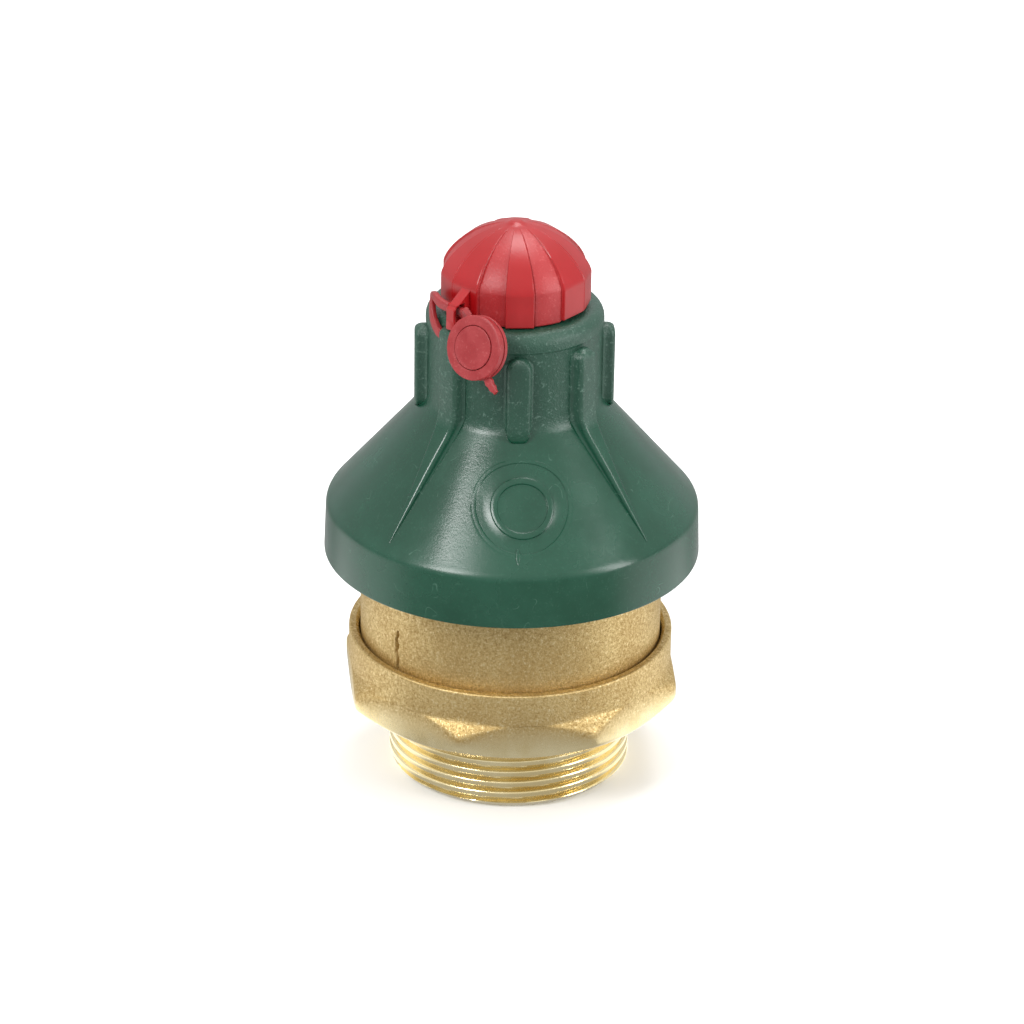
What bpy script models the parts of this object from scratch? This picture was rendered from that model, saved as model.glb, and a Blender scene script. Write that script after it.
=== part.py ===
"""Spring-loaded air vent with a G 1 1/2 thread: brass body and sleeve, plastic bell, sealed cap.

Everything turns on the Z axis. Z = 0 is the end face of the thread, the front is -Y, and a
bearing is the angle from the front, positive towards +X. Lengths are in metres.
"""

import math

import bmesh
import bpy
from mathutils import Matrix, Vector

# ---- Clearances ------------------------------------------------------------------------------
GAP = 0.0003                    # between pieces that touch
SLIDE_FIT = 0.00008             # stem in its guide, on the radius

# ---- Facets ----------------------------------------------------------------------------------
FINE = 40                       # sides of the large turned pieces
MEDIUM = 28                     # sides of the cap and the seal
COARSE = 20                     # sides of the small inner pieces
SMOOTH_ANGLE = math.radians(32)
FACET_TURN = math.radians(3.1)  # keeps the facets of two joined turned shapes from meeting

# ---- Brass body ------------------------------------------------------------------------------
BORE_R = 0.0185
THREAD_R = 0.0239
THREAD_ROOT_R = 0.02242
THREAD_PITCH = 0.002309
THREAD_TURNS = 5
THREAD_FIRST_Z = 0.00064
THREAD_FLAT = 0.0004            # width of each crest and each root
THREAD_END_R = 0.0225           # where the end chamfer starts
THREAD_LENGTH = 0.0140
OCTAGON_SIDES = 8
OCTAGON_ACROSS_FLATS = 0.0634
OCTAGON_BEARING = math.radians(6.3)
OCTAGON_HEIGHT = 0.0084
OCTAGON_FOOT_R = 0.0296         # inner edge of the turned chamfer below the flats
OCTAGON_FOOT_SLOPE = math.radians(33)
OCTAGON_TOP_SLOPE = math.radians(36)
COLLAR_WALL = 0.0020
COLLAR_TOP_Z = 0.0290
COLLAR_EDGE = 0.0004
COLLAR_BEVEL = 0.0011
FLOOR_THICKNESS = 0.0030

# ---- Outlet sleeve ---------------------------------------------------------------------------
SLEEVE_WALL = 0.0032
SLEEVE_CLEARANCE = 0.0039       # round the disc
SLEEVE_TOP_Z = 0.0540
GASKET_THICKNESS = 0.0009
ARM_COUNT = 3
ARM_WIDTH = 0.0050
ARM_HEIGHT = 0.0050
HUB_R = 0.0090
HUB_HEIGHT = 0.0080
SPIGOT_R = 0.0070
SPIGOT_HEIGHT = 0.0050

# ---- Disc and stem ---------------------------------------------------------------------------
SEAT_WIDTH = 0.0025
SEAT_HEIGHT = 0.0035
DISC_LAP = 0.0040               # how far the disc reaches past the bore
DISC_THICKNESS = 0.0030
DISC_BOSS_R = 0.0065
DISC_BOSS_HEIGHT = 0.0050
RUBBER_THICKNESS = 0.0024
RETAINER_R = 0.0155
RETAINER_THICKNESS = 0.0015
NUT_ACROSS_FLATS = 0.0100
NUT_THICKNESS = 0.0047
STEM_R = 0.0028
STEM_TAIL = 0.0010              # stem end below the nut
STEM_SHOULDER_R = 0.0050
STEM_SHOULDER_HEIGHT = 0.0020
LIFT = 0.0084                   # until the shoulder meets the bush
BUSH_WALL = 0.0015
BUSH_FLANGE_R = 0.0060
BUSH_FLANGE_HEIGHT = 0.0017
CLIP_R = 0.0050
CLIP_THICKNESS = 0.0012

# ---- Spring stack ----------------------------------------------------------------------------
TUBE_WALL = 0.0021
TUBE_THREAD_WALL = 0.0014
TUBE_FLANGE_R = 0.0115
TUBE_FLANGE_HEIGHT = 0.0030
TUBE_TOP_Z = 0.0960
TUBE_COLLAR_R = 0.0120
TUBE_COLLAR_HEIGHT = 0.0030
PLATE_R = 0.0069
PLATE_THICKNESS = 0.0022
SPRING_LENGTH = 0.0260
SPRING_MEAN_R = 0.0054
SPRING_WIRE_R = 0.0009
SPRING_TURNS = 7
SCREW_R = 0.0070
SCREW_BORE_R = 0.0033
SCREW_LENGTH = 0.0130
SCREW_SLOT = 0.0016
SCREW_SLOT_DEPTH = 0.0022
LOCK_NUT_WALL = 0.0012          # least wall, at the flats
LOCK_NUT_THICKNESS = 0.0035

# ---- Plastic bell ----------------------------------------------------------------------------
SKIRT_R = 0.0367
SKIRT_TOP_R = 0.0363
SKIRT_BOTTOM_Z = 0.0460
SKIRT_TOP_Z = 0.0561
BELL_WALL = 0.0020
NECK_R = 0.01685
NECK_WALL = 0.0025
NECK_BOTTOM_Z = 0.0785
RING_R = 0.0171
RING_BOTTOM_Z = 0.0935
RING_HEIGHT = 0.0012
SHOULDER_R = 0.0146
SHOULDER_Z = 0.0974
SHOULDER_STEPS = 4
WEB_THICKNESS = 0.0030
WASHER_THICKNESS = 0.0010
WASHER_R = 0.0124
CAP_SPIGOT_R = 0.0127
CAP_SPIGOT_HEIGHT = 0.0056
CAP_SPIGOT_BORE_R = 0.0112
BELL_NUT_THICKNESS = 0.0034
BELL_NUT_SLOTS = 4
BELL_NUT_SLOT = 0.0020

# ---- Ribs on the bell ------------------------------------------------------------------------
RIB_COUNT = 8
RIB_FIRST_BEARING = math.radians(3.0)
RIB_WIDTH = 0.0046
RIB_R = 0.0192
RIB_BOTTOM_Z = 0.0763
RIB_TOP_Z = 0.0930
RIB_BEVEL = 0.0009
GUSSET_TIP_R = 0.0345
GUSSET_TIP_WIDTH = 0.0010
GUSSET_TIP_HEIGHT = 0.0002
LUG_RIB = 7                     # the rib that is raised to hold the seal's strap
LUG_TOP_Z = 0.0969

# ---- Cap -------------------------------------------------------------------------------------
CAP_R = 0.01445
CAP_INNER_R = 0.0131
CAP_SHOULDER_Z = 0.1045
CAP_TOP_Z = 0.1140
CAP_ROOF = 0.0017
CAP_POWER = 1.9                 # both powers are 2 for an ellipse
CAP_RISE_POWER = 1.43           # below 2 the dome is a little more pointed
CAP_STEPS = 7
FIN_BEARING = math.radians(-41.0)
FIN_R = 0.0186
FIN_THICKNESS = 0.0021
FIN_FOOT_R = 0.0163             # beyond this the fin reaches down beside the bell's ring
FIN_FOOT_Z = 0.0972
FIN_CORNER_Z = 0.1014
FIN_TOP_Z = 0.1044
ORING_WIRE_R = 0.00042
ORING_Z = 0.1005

# ---- Tamper seal -----------------------------------------------------------------------------
STRAP_WIDTH = 0.0018
STRAP_THICKNESS = 0.0009
STRAP_SLACK = 0.00045           # room around the strap in each hole
STRAP_FIN_R = 0.0166
STRAP_FIN_Z = 0.10055
STRAP_LUG_R = 0.0179
STRAP_LUG_Z = 0.0953
SEAL_R = 0.0061
SEAL_FRONT = 0.0015
SEAL_GROOVE = 0.0003
SEAL_GROOVE_DEPTH = 0.0005
SEAL_BACK = 0.0009
SEAL_POCKET_DEPTH = 0.0010
INSERT_R = 0.0041
INSERT_PROUD = 0.0002
SEAL_CENTRE_R = 0.0220
SEAL_CENTRE_Z = 0.0966
SEAL_BEARING = math.radians(-18.5)
SEAL_FACING = math.radians(-37.0)
SEAL_TILT = math.radians(18.0)
TAIL_LENGTH = 0.0032
TAIL_BEARING = math.radians(33.0)   # on the disc, from straight down towards +X
STRAP_BEARING = math.radians(38.0)  # on the disc, from straight up towards -X

# ---- Colours ---------------------------------------------------------------------------------
CAST_BRASS = (0.52, 0.38, 0.16, 1.0)
TURNED_BRASS = (0.62, 0.43, 0.14, 1.0)
GREEN = (0.012, 0.062, 0.036, 1.0)
RED = (0.50, 0.022, 0.028, 1.0)
STEEL = (0.56, 0.57, 0.58, 1.0)
BLACK_RUBBER = (0.02, 0.02, 0.02, 1.0)
WHITE_PLASTIC = (0.75, 0.74, 0.70, 1.0)


# ---- Heights that follow from the sizes above ------------------------------------------------
LUG_BEARING = RIB_FIRST_BEARING + LUG_RIB * 2 * math.pi / RIB_COUNT
OCTAGON_CORNER_R = OCTAGON_ACROSS_FLATS / 2 / math.cos(math.pi / OCTAGON_SIDES)
OCTAGON_TOP_Z = THREAD_LENGTH + OCTAGON_HEIGHT
SEAT_R = BORE_R + SEAT_WIDTH
DISC_R = BORE_R + DISC_LAP
SLEEVE_R = DISC_R + SLEEVE_CLEARANCE + SLEEVE_WALL
SEAT_BOTTOM_Z = THREAD_LENGTH + GAP
SEAT_TOP_Z = SEAT_BOTTOM_Z + SEAT_HEIGHT
FLOOR_Z = THREAD_LENGTH + FLOOR_THICKNESS
LEDGE_Z = FLOOR_Z + FLOOR_THICKNESS
COLLAR_BORE_R = SLEEVE_R + GAP
COLLAR_R = COLLAR_BORE_R + COLLAR_WALL
GASKET_Z = LEDGE_Z + GAP
SLEEVE_BOTTOM_Z = GASKET_Z + GASKET_THICKNESS + GAP
SLEEVE_BORE_R = SLEEVE_R - SLEEVE_WALL

STEM_HOLE_R = STEM_R + GAP
RUBBER_Z = SEAT_TOP_Z + GAP
DISC_Z = RUBBER_Z + RUBBER_THICKNESS + GAP
BOSS_TOP_Z = DISC_Z + DISC_THICKNESS + DISC_BOSS_HEIGHT
RETAINER_Z = RUBBER_Z - GAP - RETAINER_THICKNESS
NUT_Z = RETAINER_Z - GAP - NUT_THICKNESS
STEM_BOTTOM_Z = NUT_Z - STEM_TAIL
SHOULDER_Z0 = BOSS_TOP_Z + GAP
SHOULDER_TOP_Z = SHOULDER_Z0 + STEM_SHOULDER_HEIGHT
BUSH_BORE_R = STEM_R + SLIDE_FIT
BUSH_R = BUSH_BORE_R + BUSH_WALL
BUSH_FLANGE_Z = SHOULDER_TOP_Z + LIFT + GAP
HUB_BOTTOM_Z = BUSH_FLANGE_Z + BUSH_FLANGE_HEIGHT + GAP
HUB_TOP_Z = HUB_BOTTOM_Z + HUB_HEIGHT
SPIGOT_TOP_Z = HUB_TOP_Z + SPIGOT_HEIGHT
BUSH_TOP_Z = SPIGOT_TOP_Z + GAP
CLIP_Z = BUSH_TOP_Z + 2 * GAP

PLATE_BORE_R = STEM_R + GAP
LOWER_PLATE_Z = CLIP_Z + CLIP_THICKNESS + GAP
SPRING_Z = LOWER_PLATE_Z + PLATE_THICKNESS + GAP
SPRING_TOP_Z = SPRING_Z + SPRING_LENGTH
UPPER_PLATE_Z = SPRING_TOP_Z + GAP
SCREW_Z = UPPER_PLATE_Z + PLATE_THICKNESS + GAP
SCREW_TOP_Z = SCREW_Z + SCREW_LENGTH
STEM_TOP_Z = SPRING_TOP_Z - GAP
TUBE_BORE_R = SCREW_R + GAP
TUBE_R = TUBE_BORE_R + TUBE_WALL
TUBE_THREAD_R = TUBE_BORE_R + TUBE_THREAD_WALL
TUBE_Z = HUB_TOP_Z + GAP

WEB_TOP_Z = TUBE_TOP_Z - BELL_NUT_THICKNESS - 3 * GAP
WEB_Z = WEB_TOP_Z - WEB_THICKNESS
WASHER_Z = WEB_Z - GAP - WASHER_THICKNESS
TUBE_COLLAR_TOP_Z = WASHER_Z - GAP
BELL_NUT_Z = WEB_TOP_Z + GAP
BELL_NUT_R = CAP_SPIGOT_BORE_R - GAP
WEB_BORE_R = TUBE_THREAD_R + GAP
NECK_BORE_R = NECK_R - NECK_WALL
LOCK_NUT_Z = TUBE_TOP_Z + GAP
LOCK_NUT_ACROSS_FLATS = 2 * (TUBE_BORE_R + LOCK_NUT_WALL)
CAP_BOTTOM_Z = SHOULDER_Z + GAP
CAP_ROOF_Z = CAP_TOP_Z - CAP_ROOF
ORING_GROOVE_R = CAP_SPIGOT_R - 2 * ORING_WIRE_R
TAG_THICKNESS = SEAL_BACK + SEAL_GROOVE + SEAL_FRONT


# ---- Modelling helpers -----------------------------------------------------------------------
def clear_scene():
    """Start from an empty scene."""
    for old in list(bpy.data.objects):
        bpy.data.objects.remove(old, do_unlink=True)


def material(name, colour, roughness, metallic):
    """One Principled material."""
    made = bpy.data.materials.new(name)
    made.use_nodes = True
    shader = made.node_tree.nodes["Principled BSDF"]
    shader.inputs["Base Color"].default_value = colour
    shader.inputs["Roughness"].default_value = roughness
    shader.inputs["Metallic"].default_value = metallic
    made.diffuse_color = colour
    return made


def polar(radius, bearing, height=0.0):
    """The point at a radius, a bearing from the front (-Y) and a height."""
    return Vector((radius * math.sin(bearing), -radius * math.cos(bearing), height))


def add_object(name, bm, finish=None):
    """Turn a bmesh into a smooth-shaded object with its faces pointing out."""
    bmesh.ops.recalc_face_normals(bm, faces=bm.faces)
    mesh = bpy.data.meshes.new(name)
    bm.to_mesh(mesh)
    bm.free()
    mesh.shade_smooth()
    mesh.set_sharp_from_angle(angle=SMOOTH_ANGLE)
    if finish:
        colour, roughness, metallic = finish
        mesh.materials.append(material(name + "_finish", colour, roughness, metallic))
    made = bpy.data.objects.new(name, mesh)
    bpy.context.scene.collection.objects.link(made)
    return made


def helper(made):
    """Mark an object as a guide that only shapes another one."""
    made.hide_render = True
    made.display_type = "WIRE"
    return made


def turned(name, profile, sides, finish=None):
    """Spin a closed outline of (radius, height) points once round Z."""
    bm = bmesh.new()
    ring = [bm.verts.new((radius, 0.0, height)) for radius, height in profile]
    edges = [bm.edges.new((ring[i], ring[(i + 1) % len(ring)])) for i in range(len(ring))]
    bmesh.ops.spin(
        bm,
        geom=ring + edges,
        cent=(0.0, 0.0, 0.0),
        axis=(0.0, 0.0, 1.0),
        angle=2 * math.pi,
        steps=sides,
        use_merge=True,
        use_duplicate=False,
    )
    bmesh.ops.remove_doubles(bm, verts=bm.verts, dist=1e-6)
    bmesh.ops.dissolve_degenerate(bm, edges=bm.edges, dist=1e-7)
    return add_object(name, bm, finish)


def tube(name, inner, outer, bottom, top, sides, finish=None):
    """A plain ring with a square section."""
    profile = [(inner, bottom), (outer, bottom), (outer, top), (inner, top)]
    return turned(name, profile, sides, finish)


def prism(name, outline, bottom, top, finish=None):
    """Extrude a closed (x, y) outline from one height to another."""
    bm = bmesh.new()
    floor = bm.faces.new([bm.verts.new((x, y, bottom)) for x, y in outline])
    raised = bmesh.ops.extrude_face_region(bm, geom=[floor])
    moved = [item for item in raised["geom"] if isinstance(item, bmesh.types.BMVert)]
    bmesh.ops.translate(bm, verts=moved, vec=(0.0, 0.0, top - bottom))
    return add_object(name, bm, finish)


def radial_plate(name, outline, thickness, bearing):
    """Extrude a (radius, height) outline across a radial plane, centred on that plane."""
    bm = bmesh.new()
    half = thickness / 2
    side = bm.faces.new([bm.verts.new((-half, -radius, height)) for radius, height in outline])
    raised = bmesh.ops.extrude_face_region(bm, geom=[side])
    moved = [item for item in raised["geom"] if isinstance(item, bmesh.types.BMVert)]
    bmesh.ops.translate(bm, verts=moved, vec=(thickness, 0.0, 0.0))
    bmesh.ops.rotate(bm, verts=bm.verts, matrix=Matrix.Rotation(bearing, 3, "Z"))
    return helper(add_object(name, bm))


def polygon(sides, across_flats, bearing=0.0):
    """Corners of a regular polygon whose first flat faces the given bearing."""
    radius = across_flats / 2 / math.cos(math.pi / sides)
    angles = [bearing + (i + 0.5) * 2 * math.pi / sides for i in range(sides)]
    return [(radius * math.sin(a), -radius * math.cos(a)) for a in angles]


def smooth_path(points, steps):
    """Points along a Catmull-Rom curve that passes through every given point."""
    ends = [2 * points[0] - points[1]] + points + [2 * points[-1] - points[-2]]
    path = []
    for a, b, c, d in zip(ends, ends[1:], ends[2:], ends[3:]):
        for step in range(steps):
            t = step / steps
            near = 2 * b + (c - a) * t
            far = (2 * a - 5 * b + 4 * c - d) * t * t + (3 * b - a - 3 * c + d) * t ** 3
            path.append((near + far) / 2)
    path.append(points[-1])
    return path


def swept(name, path, across, along, sides, finish, outward=None):
    """Sweep an oval section, across wide outward and along wide upward, with closed ends."""
    bm = bmesh.new()
    rings = []
    for i, point in enumerate(path):
        forward = (path[min(i + 1, len(path) - 1)] - path[max(i - 1, 0)]).normalized()
        away = outward(point) if outward else Vector((point.x, point.y, 0.0))
        away = (away - forward * away.dot(forward)).normalized()
        upward = forward.cross(away)
        ring = []
        for k in range(sides):
            angle = 2 * math.pi * (k + 0.5) / sides
            offset = away * (across * math.cos(angle)) + upward * (along * math.sin(angle))
            ring.append(bm.verts.new(point + offset))
        rings.append(ring)
    for low, high in zip(rings, rings[1:]):
        for k in range(sides):
            after = (k + 1) % sides
            bm.faces.new((low[k], low[after], high[after], high[k]))
    bm.faces.new(rings[0])
    bm.faces.new(rings[-1])
    return add_object(name, bm, finish)


def combine(target, tool, operation):
    """Add a live exact Boolean and hide its tool."""
    step = target.modifiers.new(tool.name, "BOOLEAN")
    step.operation = operation
    step.solver = "EXACT"
    step.object = helper(tool)


def round_edges(made, width, segments=1):
    """Bevel the sharp edges of a piece."""
    step = made.modifiers.new("round_edges", "BEVEL")
    step.width = width
    step.segments = segments
    step.limit_method = "ANGLE"
    step.angle_limit = math.radians(40)


def pivot(name, location):
    """An empty on a joint's axis."""
    made = bpy.data.objects.new(name, None)
    made.empty_display_size = 0.01
    made.location = location
    bpy.context.scene.collection.objects.link(made)
    return made


def hang_on(parent, pieces):
    """Parent pieces that are modelled in place to a pivot, without moving them."""
    for piece in pieces:
        piece.parent = parent
        piece.matrix_parent_inverse = Matrix.Translation(-parent.location)


# ---- Brass body and sleeve -------------------------------------------------------------------
def thread_outline():
    """Flanks, crests and roots of the thread from its end face up to the relief."""
    half = THREAD_FLAT / 2
    flank = (THREAD_PITCH - 2 * THREAD_FLAT) / 2
    points = [(THREAD_END_R, 0.0)]
    for turn in range(THREAD_TURNS):
        middle = THREAD_FIRST_Z + turn * THREAD_PITCH
        crest = min(THREAD_R, THREAD_END_R + middle)
        points.append((crest, middle - half))
        points.append((crest, middle + half))
        points.append((THREAD_ROOT_R, middle + half + flank))
        if turn < THREAD_TURNS - 1:
            points.append((THREAD_ROOT_R, middle + half + flank + THREAD_FLAT))
    return points


def valve_body():
    """Threaded inlet, octagon for a spanner and the collar that takes the sleeve."""
    foot = THREAD_LENGTH
    core_r = OCTAGON_ACROSS_FLATS / 2 - GAP
    core_z = foot + 3 * GAP + (core_r - OCTAGON_FOOT_R) * math.tan(OCTAGON_FOOT_SLOPE)
    step_z = OCTAGON_TOP_Z - OCTAGON_HEIGHT / 4
    profile = thread_outline() + [
        (THREAD_ROOT_R, foot),
        (OCTAGON_FOOT_R, foot),
        (OCTAGON_FOOT_R, foot + 3 * GAP),
        (core_r, core_z),
        (core_r, step_z),
        (COLLAR_R, step_z + COLLAR_R - core_r),
        (COLLAR_R, COLLAR_TOP_Z - COLLAR_EDGE),
        (COLLAR_R - COLLAR_EDGE, COLLAR_TOP_Z),
        (COLLAR_BORE_R + COLLAR_BEVEL, COLLAR_TOP_Z),
        (COLLAR_BORE_R, COLLAR_TOP_Z - COLLAR_BEVEL),
        (COLLAR_BORE_R, LEDGE_Z),
        (SLEEVE_BORE_R, LEDGE_Z),
        (SLEEVE_BORE_R, FLOOR_Z),
        (SEAT_R + GAP, FLOOR_Z),
        (SEAT_R + GAP, THREAD_LENGTH),
        (BORE_R, THREAD_LENGTH),
        (BORE_R, 0.0),
    ]
    body = turned("valve_body", profile, FINE, (CAST_BRASS, 0.45, 1.0))
    octagon = prism(
        "octagon_block",
        polygon(OCTAGON_SIDES, OCTAGON_ACROSS_FLATS, OCTAGON_BEARING),
        THREAD_LENGTH - GAP,
        OCTAGON_TOP_Z + OCTAGON_HEIGHT / 2,
    )
    reach = OCTAGON_CORNER_R + GAP
    inner = (COLLAR_BORE_R + core_r) / 2
    foot_rise = (reach - OCTAGON_FOOT_R) * math.tan(OCTAGON_FOOT_SLOPE)
    top_fall = (reach - COLLAR_R) * math.tan(OCTAGON_TOP_SLOPE)
    top_rise = (COLLAR_R - inner) * math.tan(OCTAGON_TOP_SLOPE)
    middle = (THREAD_ROOT_R + OCTAGON_FOOT_R) / 2
    envelope = [
        (middle, THREAD_LENGTH + GAP),
        (OCTAGON_FOOT_R - GAP, THREAD_LENGTH + GAP),
        (reach, THREAD_LENGTH + GAP + foot_rise),
        (reach, OCTAGON_TOP_Z - top_fall),
        (inner, OCTAGON_TOP_Z + top_rise),
        (inner, FLOOR_Z - GAP),
        (middle, FLOOR_Z - GAP),
    ]
    limits = turned("octagon_envelope", envelope, FINE * 2)
    limits.data.transform(Matrix.Rotation(FACET_TURN, 4, "Z"))
    combine(octagon, limits, "INTERSECT")
    combine(body, octagon, "UNION")
    return body


def seat_ring():
    """Hard ring that the disc closes on, with a narrow raised lip."""
    lip = SEAT_WIDTH * 0.4
    profile = [
        (BORE_R, SEAT_BOTTOM_Z),
        (SEAT_R, SEAT_BOTTOM_Z),
        (SEAT_R, SEAT_TOP_Z - lip),
        (BORE_R + lip, SEAT_TOP_Z),
        (BORE_R, SEAT_TOP_Z),
    ]
    return turned("seat_ring", profile, FINE, (TURNED_BRASS, 0.25, 1.0))


def body_gasket():
    """Flat ring between the body's ledge and the sleeve."""
    inner = SLEEVE_BORE_R + GAP
    top = GASKET_Z + GASKET_THICKNESS
    return tube("body_gasket", inner, SLEEVE_R, GASKET_Z, top, FINE, (BLACK_RUBBER, 0.7, 0.0))


def outlet_sleeve():
    """Open sleeve above the disc, with a three-armed bridge that carries the hub."""
    sleeve = tube(
        "outlet_sleeve",
        SLEEVE_BORE_R,
        SLEEVE_R,
        SLEEVE_BOTTOM_Z,
        SLEEVE_TOP_Z,
        FINE,
        (CAST_BRASS, 0.5, 1.0),
    )
    bore = BUSH_R + GAP
    hub_profile = [
        (bore, HUB_BOTTOM_Z),
        (HUB_R, HUB_BOTTOM_Z),
        (HUB_R, HUB_TOP_Z),
        (SPIGOT_R, HUB_TOP_Z),
        (SPIGOT_R, SPIGOT_TOP_Z),
        (bore, SPIGOT_TOP_Z),
    ]
    hub = turned("bridge_hub", hub_profile, COARSE)
    arm_z = (HUB_BOTTOM_Z + HUB_TOP_Z - ARM_HEIGHT) / 2
    near = (bore + HUB_R) / 2
    far = (SLEEVE_BORE_R + SLEEVE_R) / 2
    outline = [(near, arm_z), (far, arm_z), (far, arm_z + ARM_HEIGHT), (near, arm_z + ARM_HEIGHT)]
    for i in range(ARM_COUNT):
        bearing = math.pi + i * 2 * math.pi / ARM_COUNT
        arm = radial_plate(f"bridge_arm_{i + 1}", outline, ARM_WIDTH, bearing)
        combine(hub, arm, "UNION")
    combine(sleeve, hub, "UNION")
    return sleeve


def stem_guide_bush():
    """Flanged bush that guides the stem in the hub; its flange stops the lift."""
    profile = [
        (BUSH_BORE_R, BUSH_FLANGE_Z),
        (BUSH_FLANGE_R, BUSH_FLANGE_Z),
        (BUSH_FLANGE_R, BUSH_FLANGE_Z + BUSH_FLANGE_HEIGHT),
        (BUSH_R, BUSH_FLANGE_Z + BUSH_FLANGE_HEIGHT),
        (BUSH_R, BUSH_TOP_Z),
        (BUSH_BORE_R, BUSH_TOP_Z),
    ]
    return turned("stem_guide_bush", profile, COARSE, (WHITE_PLASTIC, 0.5, 0.0))


# ---- Disc and stem, which lift together ------------------------------------------------------
def valve_disc():
    """Brass disc with a boss for the stem."""
    plate_top = DISC_Z + DISC_THICKNESS
    profile = [
        (STEM_HOLE_R, DISC_Z),
        (DISC_R, DISC_Z),
        (DISC_R, plate_top),
        (DISC_BOSS_R + GAP, plate_top),
        (DISC_BOSS_R, plate_top + GAP),
        (DISC_BOSS_R, BOSS_TOP_Z),
        (STEM_HOLE_R, BOSS_TOP_Z),
    ]
    return turned("valve_disc", profile, FINE, (TURNED_BRASS, 0.3, 1.0))


def disc_seal():
    """Rubber ring under the disc that meets the seat."""
    top = RUBBER_Z + RUBBER_THICKNESS
    outer = SEAT_R + GAP
    return tube("disc_seal", STEM_HOLE_R, outer, RUBBER_Z, top, FINE, (BLACK_RUBBER, 0.7, 0.0))


def seal_retainer():
    """Washer that clamps the rubber to the disc."""
    top = RETAINER_Z + RETAINER_THICKNESS
    steel = (STEEL, 0.3, 1.0)
    return tube("seal_retainer", STEM_HOLE_R, RETAINER_R, RETAINER_Z, top, COARSE, steel)


def drilled_nut(name, across_flats, bore, bottom, thickness, finish):
    """A hexagon nut with a plain hole."""
    nut = prism(name, polygon(6, across_flats), bottom, bottom + thickness, finish)
    drill = turned(
        name + "_drill",
        [
            (0.0, bottom - thickness),
            (bore, bottom - thickness),
            (bore, bottom + 2 * thickness),
            (0.0, bottom + 2 * thickness),
        ],
        COARSE,
    )
    combine(nut, drill, "DIFFERENCE")
    return nut


def retainer_nut():
    """Nut on the stem's lower end."""
    steel = (STEEL, 0.3, 1.0)
    return drilled_nut("retainer_nut", NUT_ACROSS_FLATS, STEM_HOLE_R, NUT_Z, NUT_THICKNESS, steel)


def valve_stem():
    """Stem with the shoulder that bears on the disc and stops under the bush."""
    tip = STEM_R * 0.3
    profile = [
        (0.0, STEM_BOTTOM_Z),
        (STEM_R - tip, STEM_BOTTOM_Z),
        (STEM_R, STEM_BOTTOM_Z + tip),
        (STEM_R, SHOULDER_Z0),
        (STEM_SHOULDER_R, SHOULDER_Z0),
        (STEM_SHOULDER_R, SHOULDER_TOP_Z),
        (STEM_R, SHOULDER_TOP_Z),
        (STEM_R, STEM_TOP_Z - tip),
        (STEM_R - tip, STEM_TOP_Z),
        (0.0, STEM_TOP_Z),
    ]
    return turned("valve_stem", profile, COARSE, (STEEL, 0.25, 1.0))


def stem_clip():
    """Clip on the stem that takes the spring's push."""
    top = CLIP_Z + CLIP_THICKNESS
    return tube("stem_clip", STEM_HOLE_R, CLIP_R, CLIP_Z, top, COARSE, (STEEL, 0.3, 1.0))


# ---- Spring stack ----------------------------------------------------------------------------
def spring_plate(name, bottom):
    """Flat plate at one end of the spring."""
    top = bottom + PLATE_THICKNESS
    return tube(name, PLATE_BORE_R, PLATE_R, bottom, top, COARSE, (TURNED_BRASS, 0.35, 1.0))


def main_spring():
    """Coil with a close turn at each end and even turns between."""
    per_turn = 14
    steps = SPRING_TURNS * per_turn
    low = SPRING_Z + SPRING_WIRE_R
    rise = SPRING_LENGTH - 2 * SPRING_WIRE_R
    close = 1.0 / SPRING_TURNS
    end_rise = 2.2 * SPRING_WIRE_R / rise
    path = []
    for i in range(steps + 1):
        share = i / steps
        if share < close:
            height = end_rise * (share / close) ** 2
        elif share > 1 - close:
            height = 1 - end_rise * ((1 - share) / close) ** 2
        else:
            height = end_rise + (1 - 2 * end_rise) * (share - close) / (1 - 2 * close)
        bearing = 2 * math.pi * SPRING_TURNS * share
        path.append(polar(SPRING_MEAN_R, bearing, low + rise * height))
    steel = (STEEL, 0.3, 1.0)
    return swept("main_spring", path, SPRING_WIRE_R, SPRING_WIRE_R, 6, steel)


def spring_tube():
    """Threaded tube on the hub that houses the spring and carries the bell."""
    collar_z = TUBE_COLLAR_TOP_Z - TUBE_COLLAR_HEIGHT
    profile = [
        (TUBE_BORE_R, TUBE_Z),
        (TUBE_FLANGE_R, TUBE_Z),
        (TUBE_FLANGE_R, TUBE_Z + TUBE_FLANGE_HEIGHT),
        (TUBE_R, TUBE_Z + TUBE_FLANGE_HEIGHT),
        (TUBE_R, collar_z),
        (TUBE_COLLAR_R, collar_z),
        (TUBE_COLLAR_R, TUBE_COLLAR_TOP_Z),
        (TUBE_THREAD_R, TUBE_COLLAR_TOP_Z),
        (TUBE_THREAD_R, TUBE_TOP_Z),
        (TUBE_BORE_R, TUBE_TOP_Z),
    ]
    return turned("spring_tube", profile, MEDIUM, (TURNED_BRASS, 0.3, 1.0))


def adjusting_screw():
    """Hollow screw that loads the spring, slotted across its top."""
    screw = tube(
        "adjusting_screw",
        SCREW_BORE_R,
        SCREW_R,
        SCREW_Z,
        SCREW_TOP_Z,
        COARSE,
        (TURNED_BRASS, 0.3, 1.0),
    )
    reach = SCREW_R * 1.5
    low = SCREW_TOP_Z - SCREW_SLOT_DEPTH
    high = SCREW_TOP_Z + SCREW_SLOT_DEPTH
    outline = [(-reach, low), (reach, low), (reach, high), (-reach, high)]
    slot = radial_plate("screw_slot", outline, SCREW_SLOT, math.radians(40))
    combine(screw, slot, "DIFFERENCE")
    return screw


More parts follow.
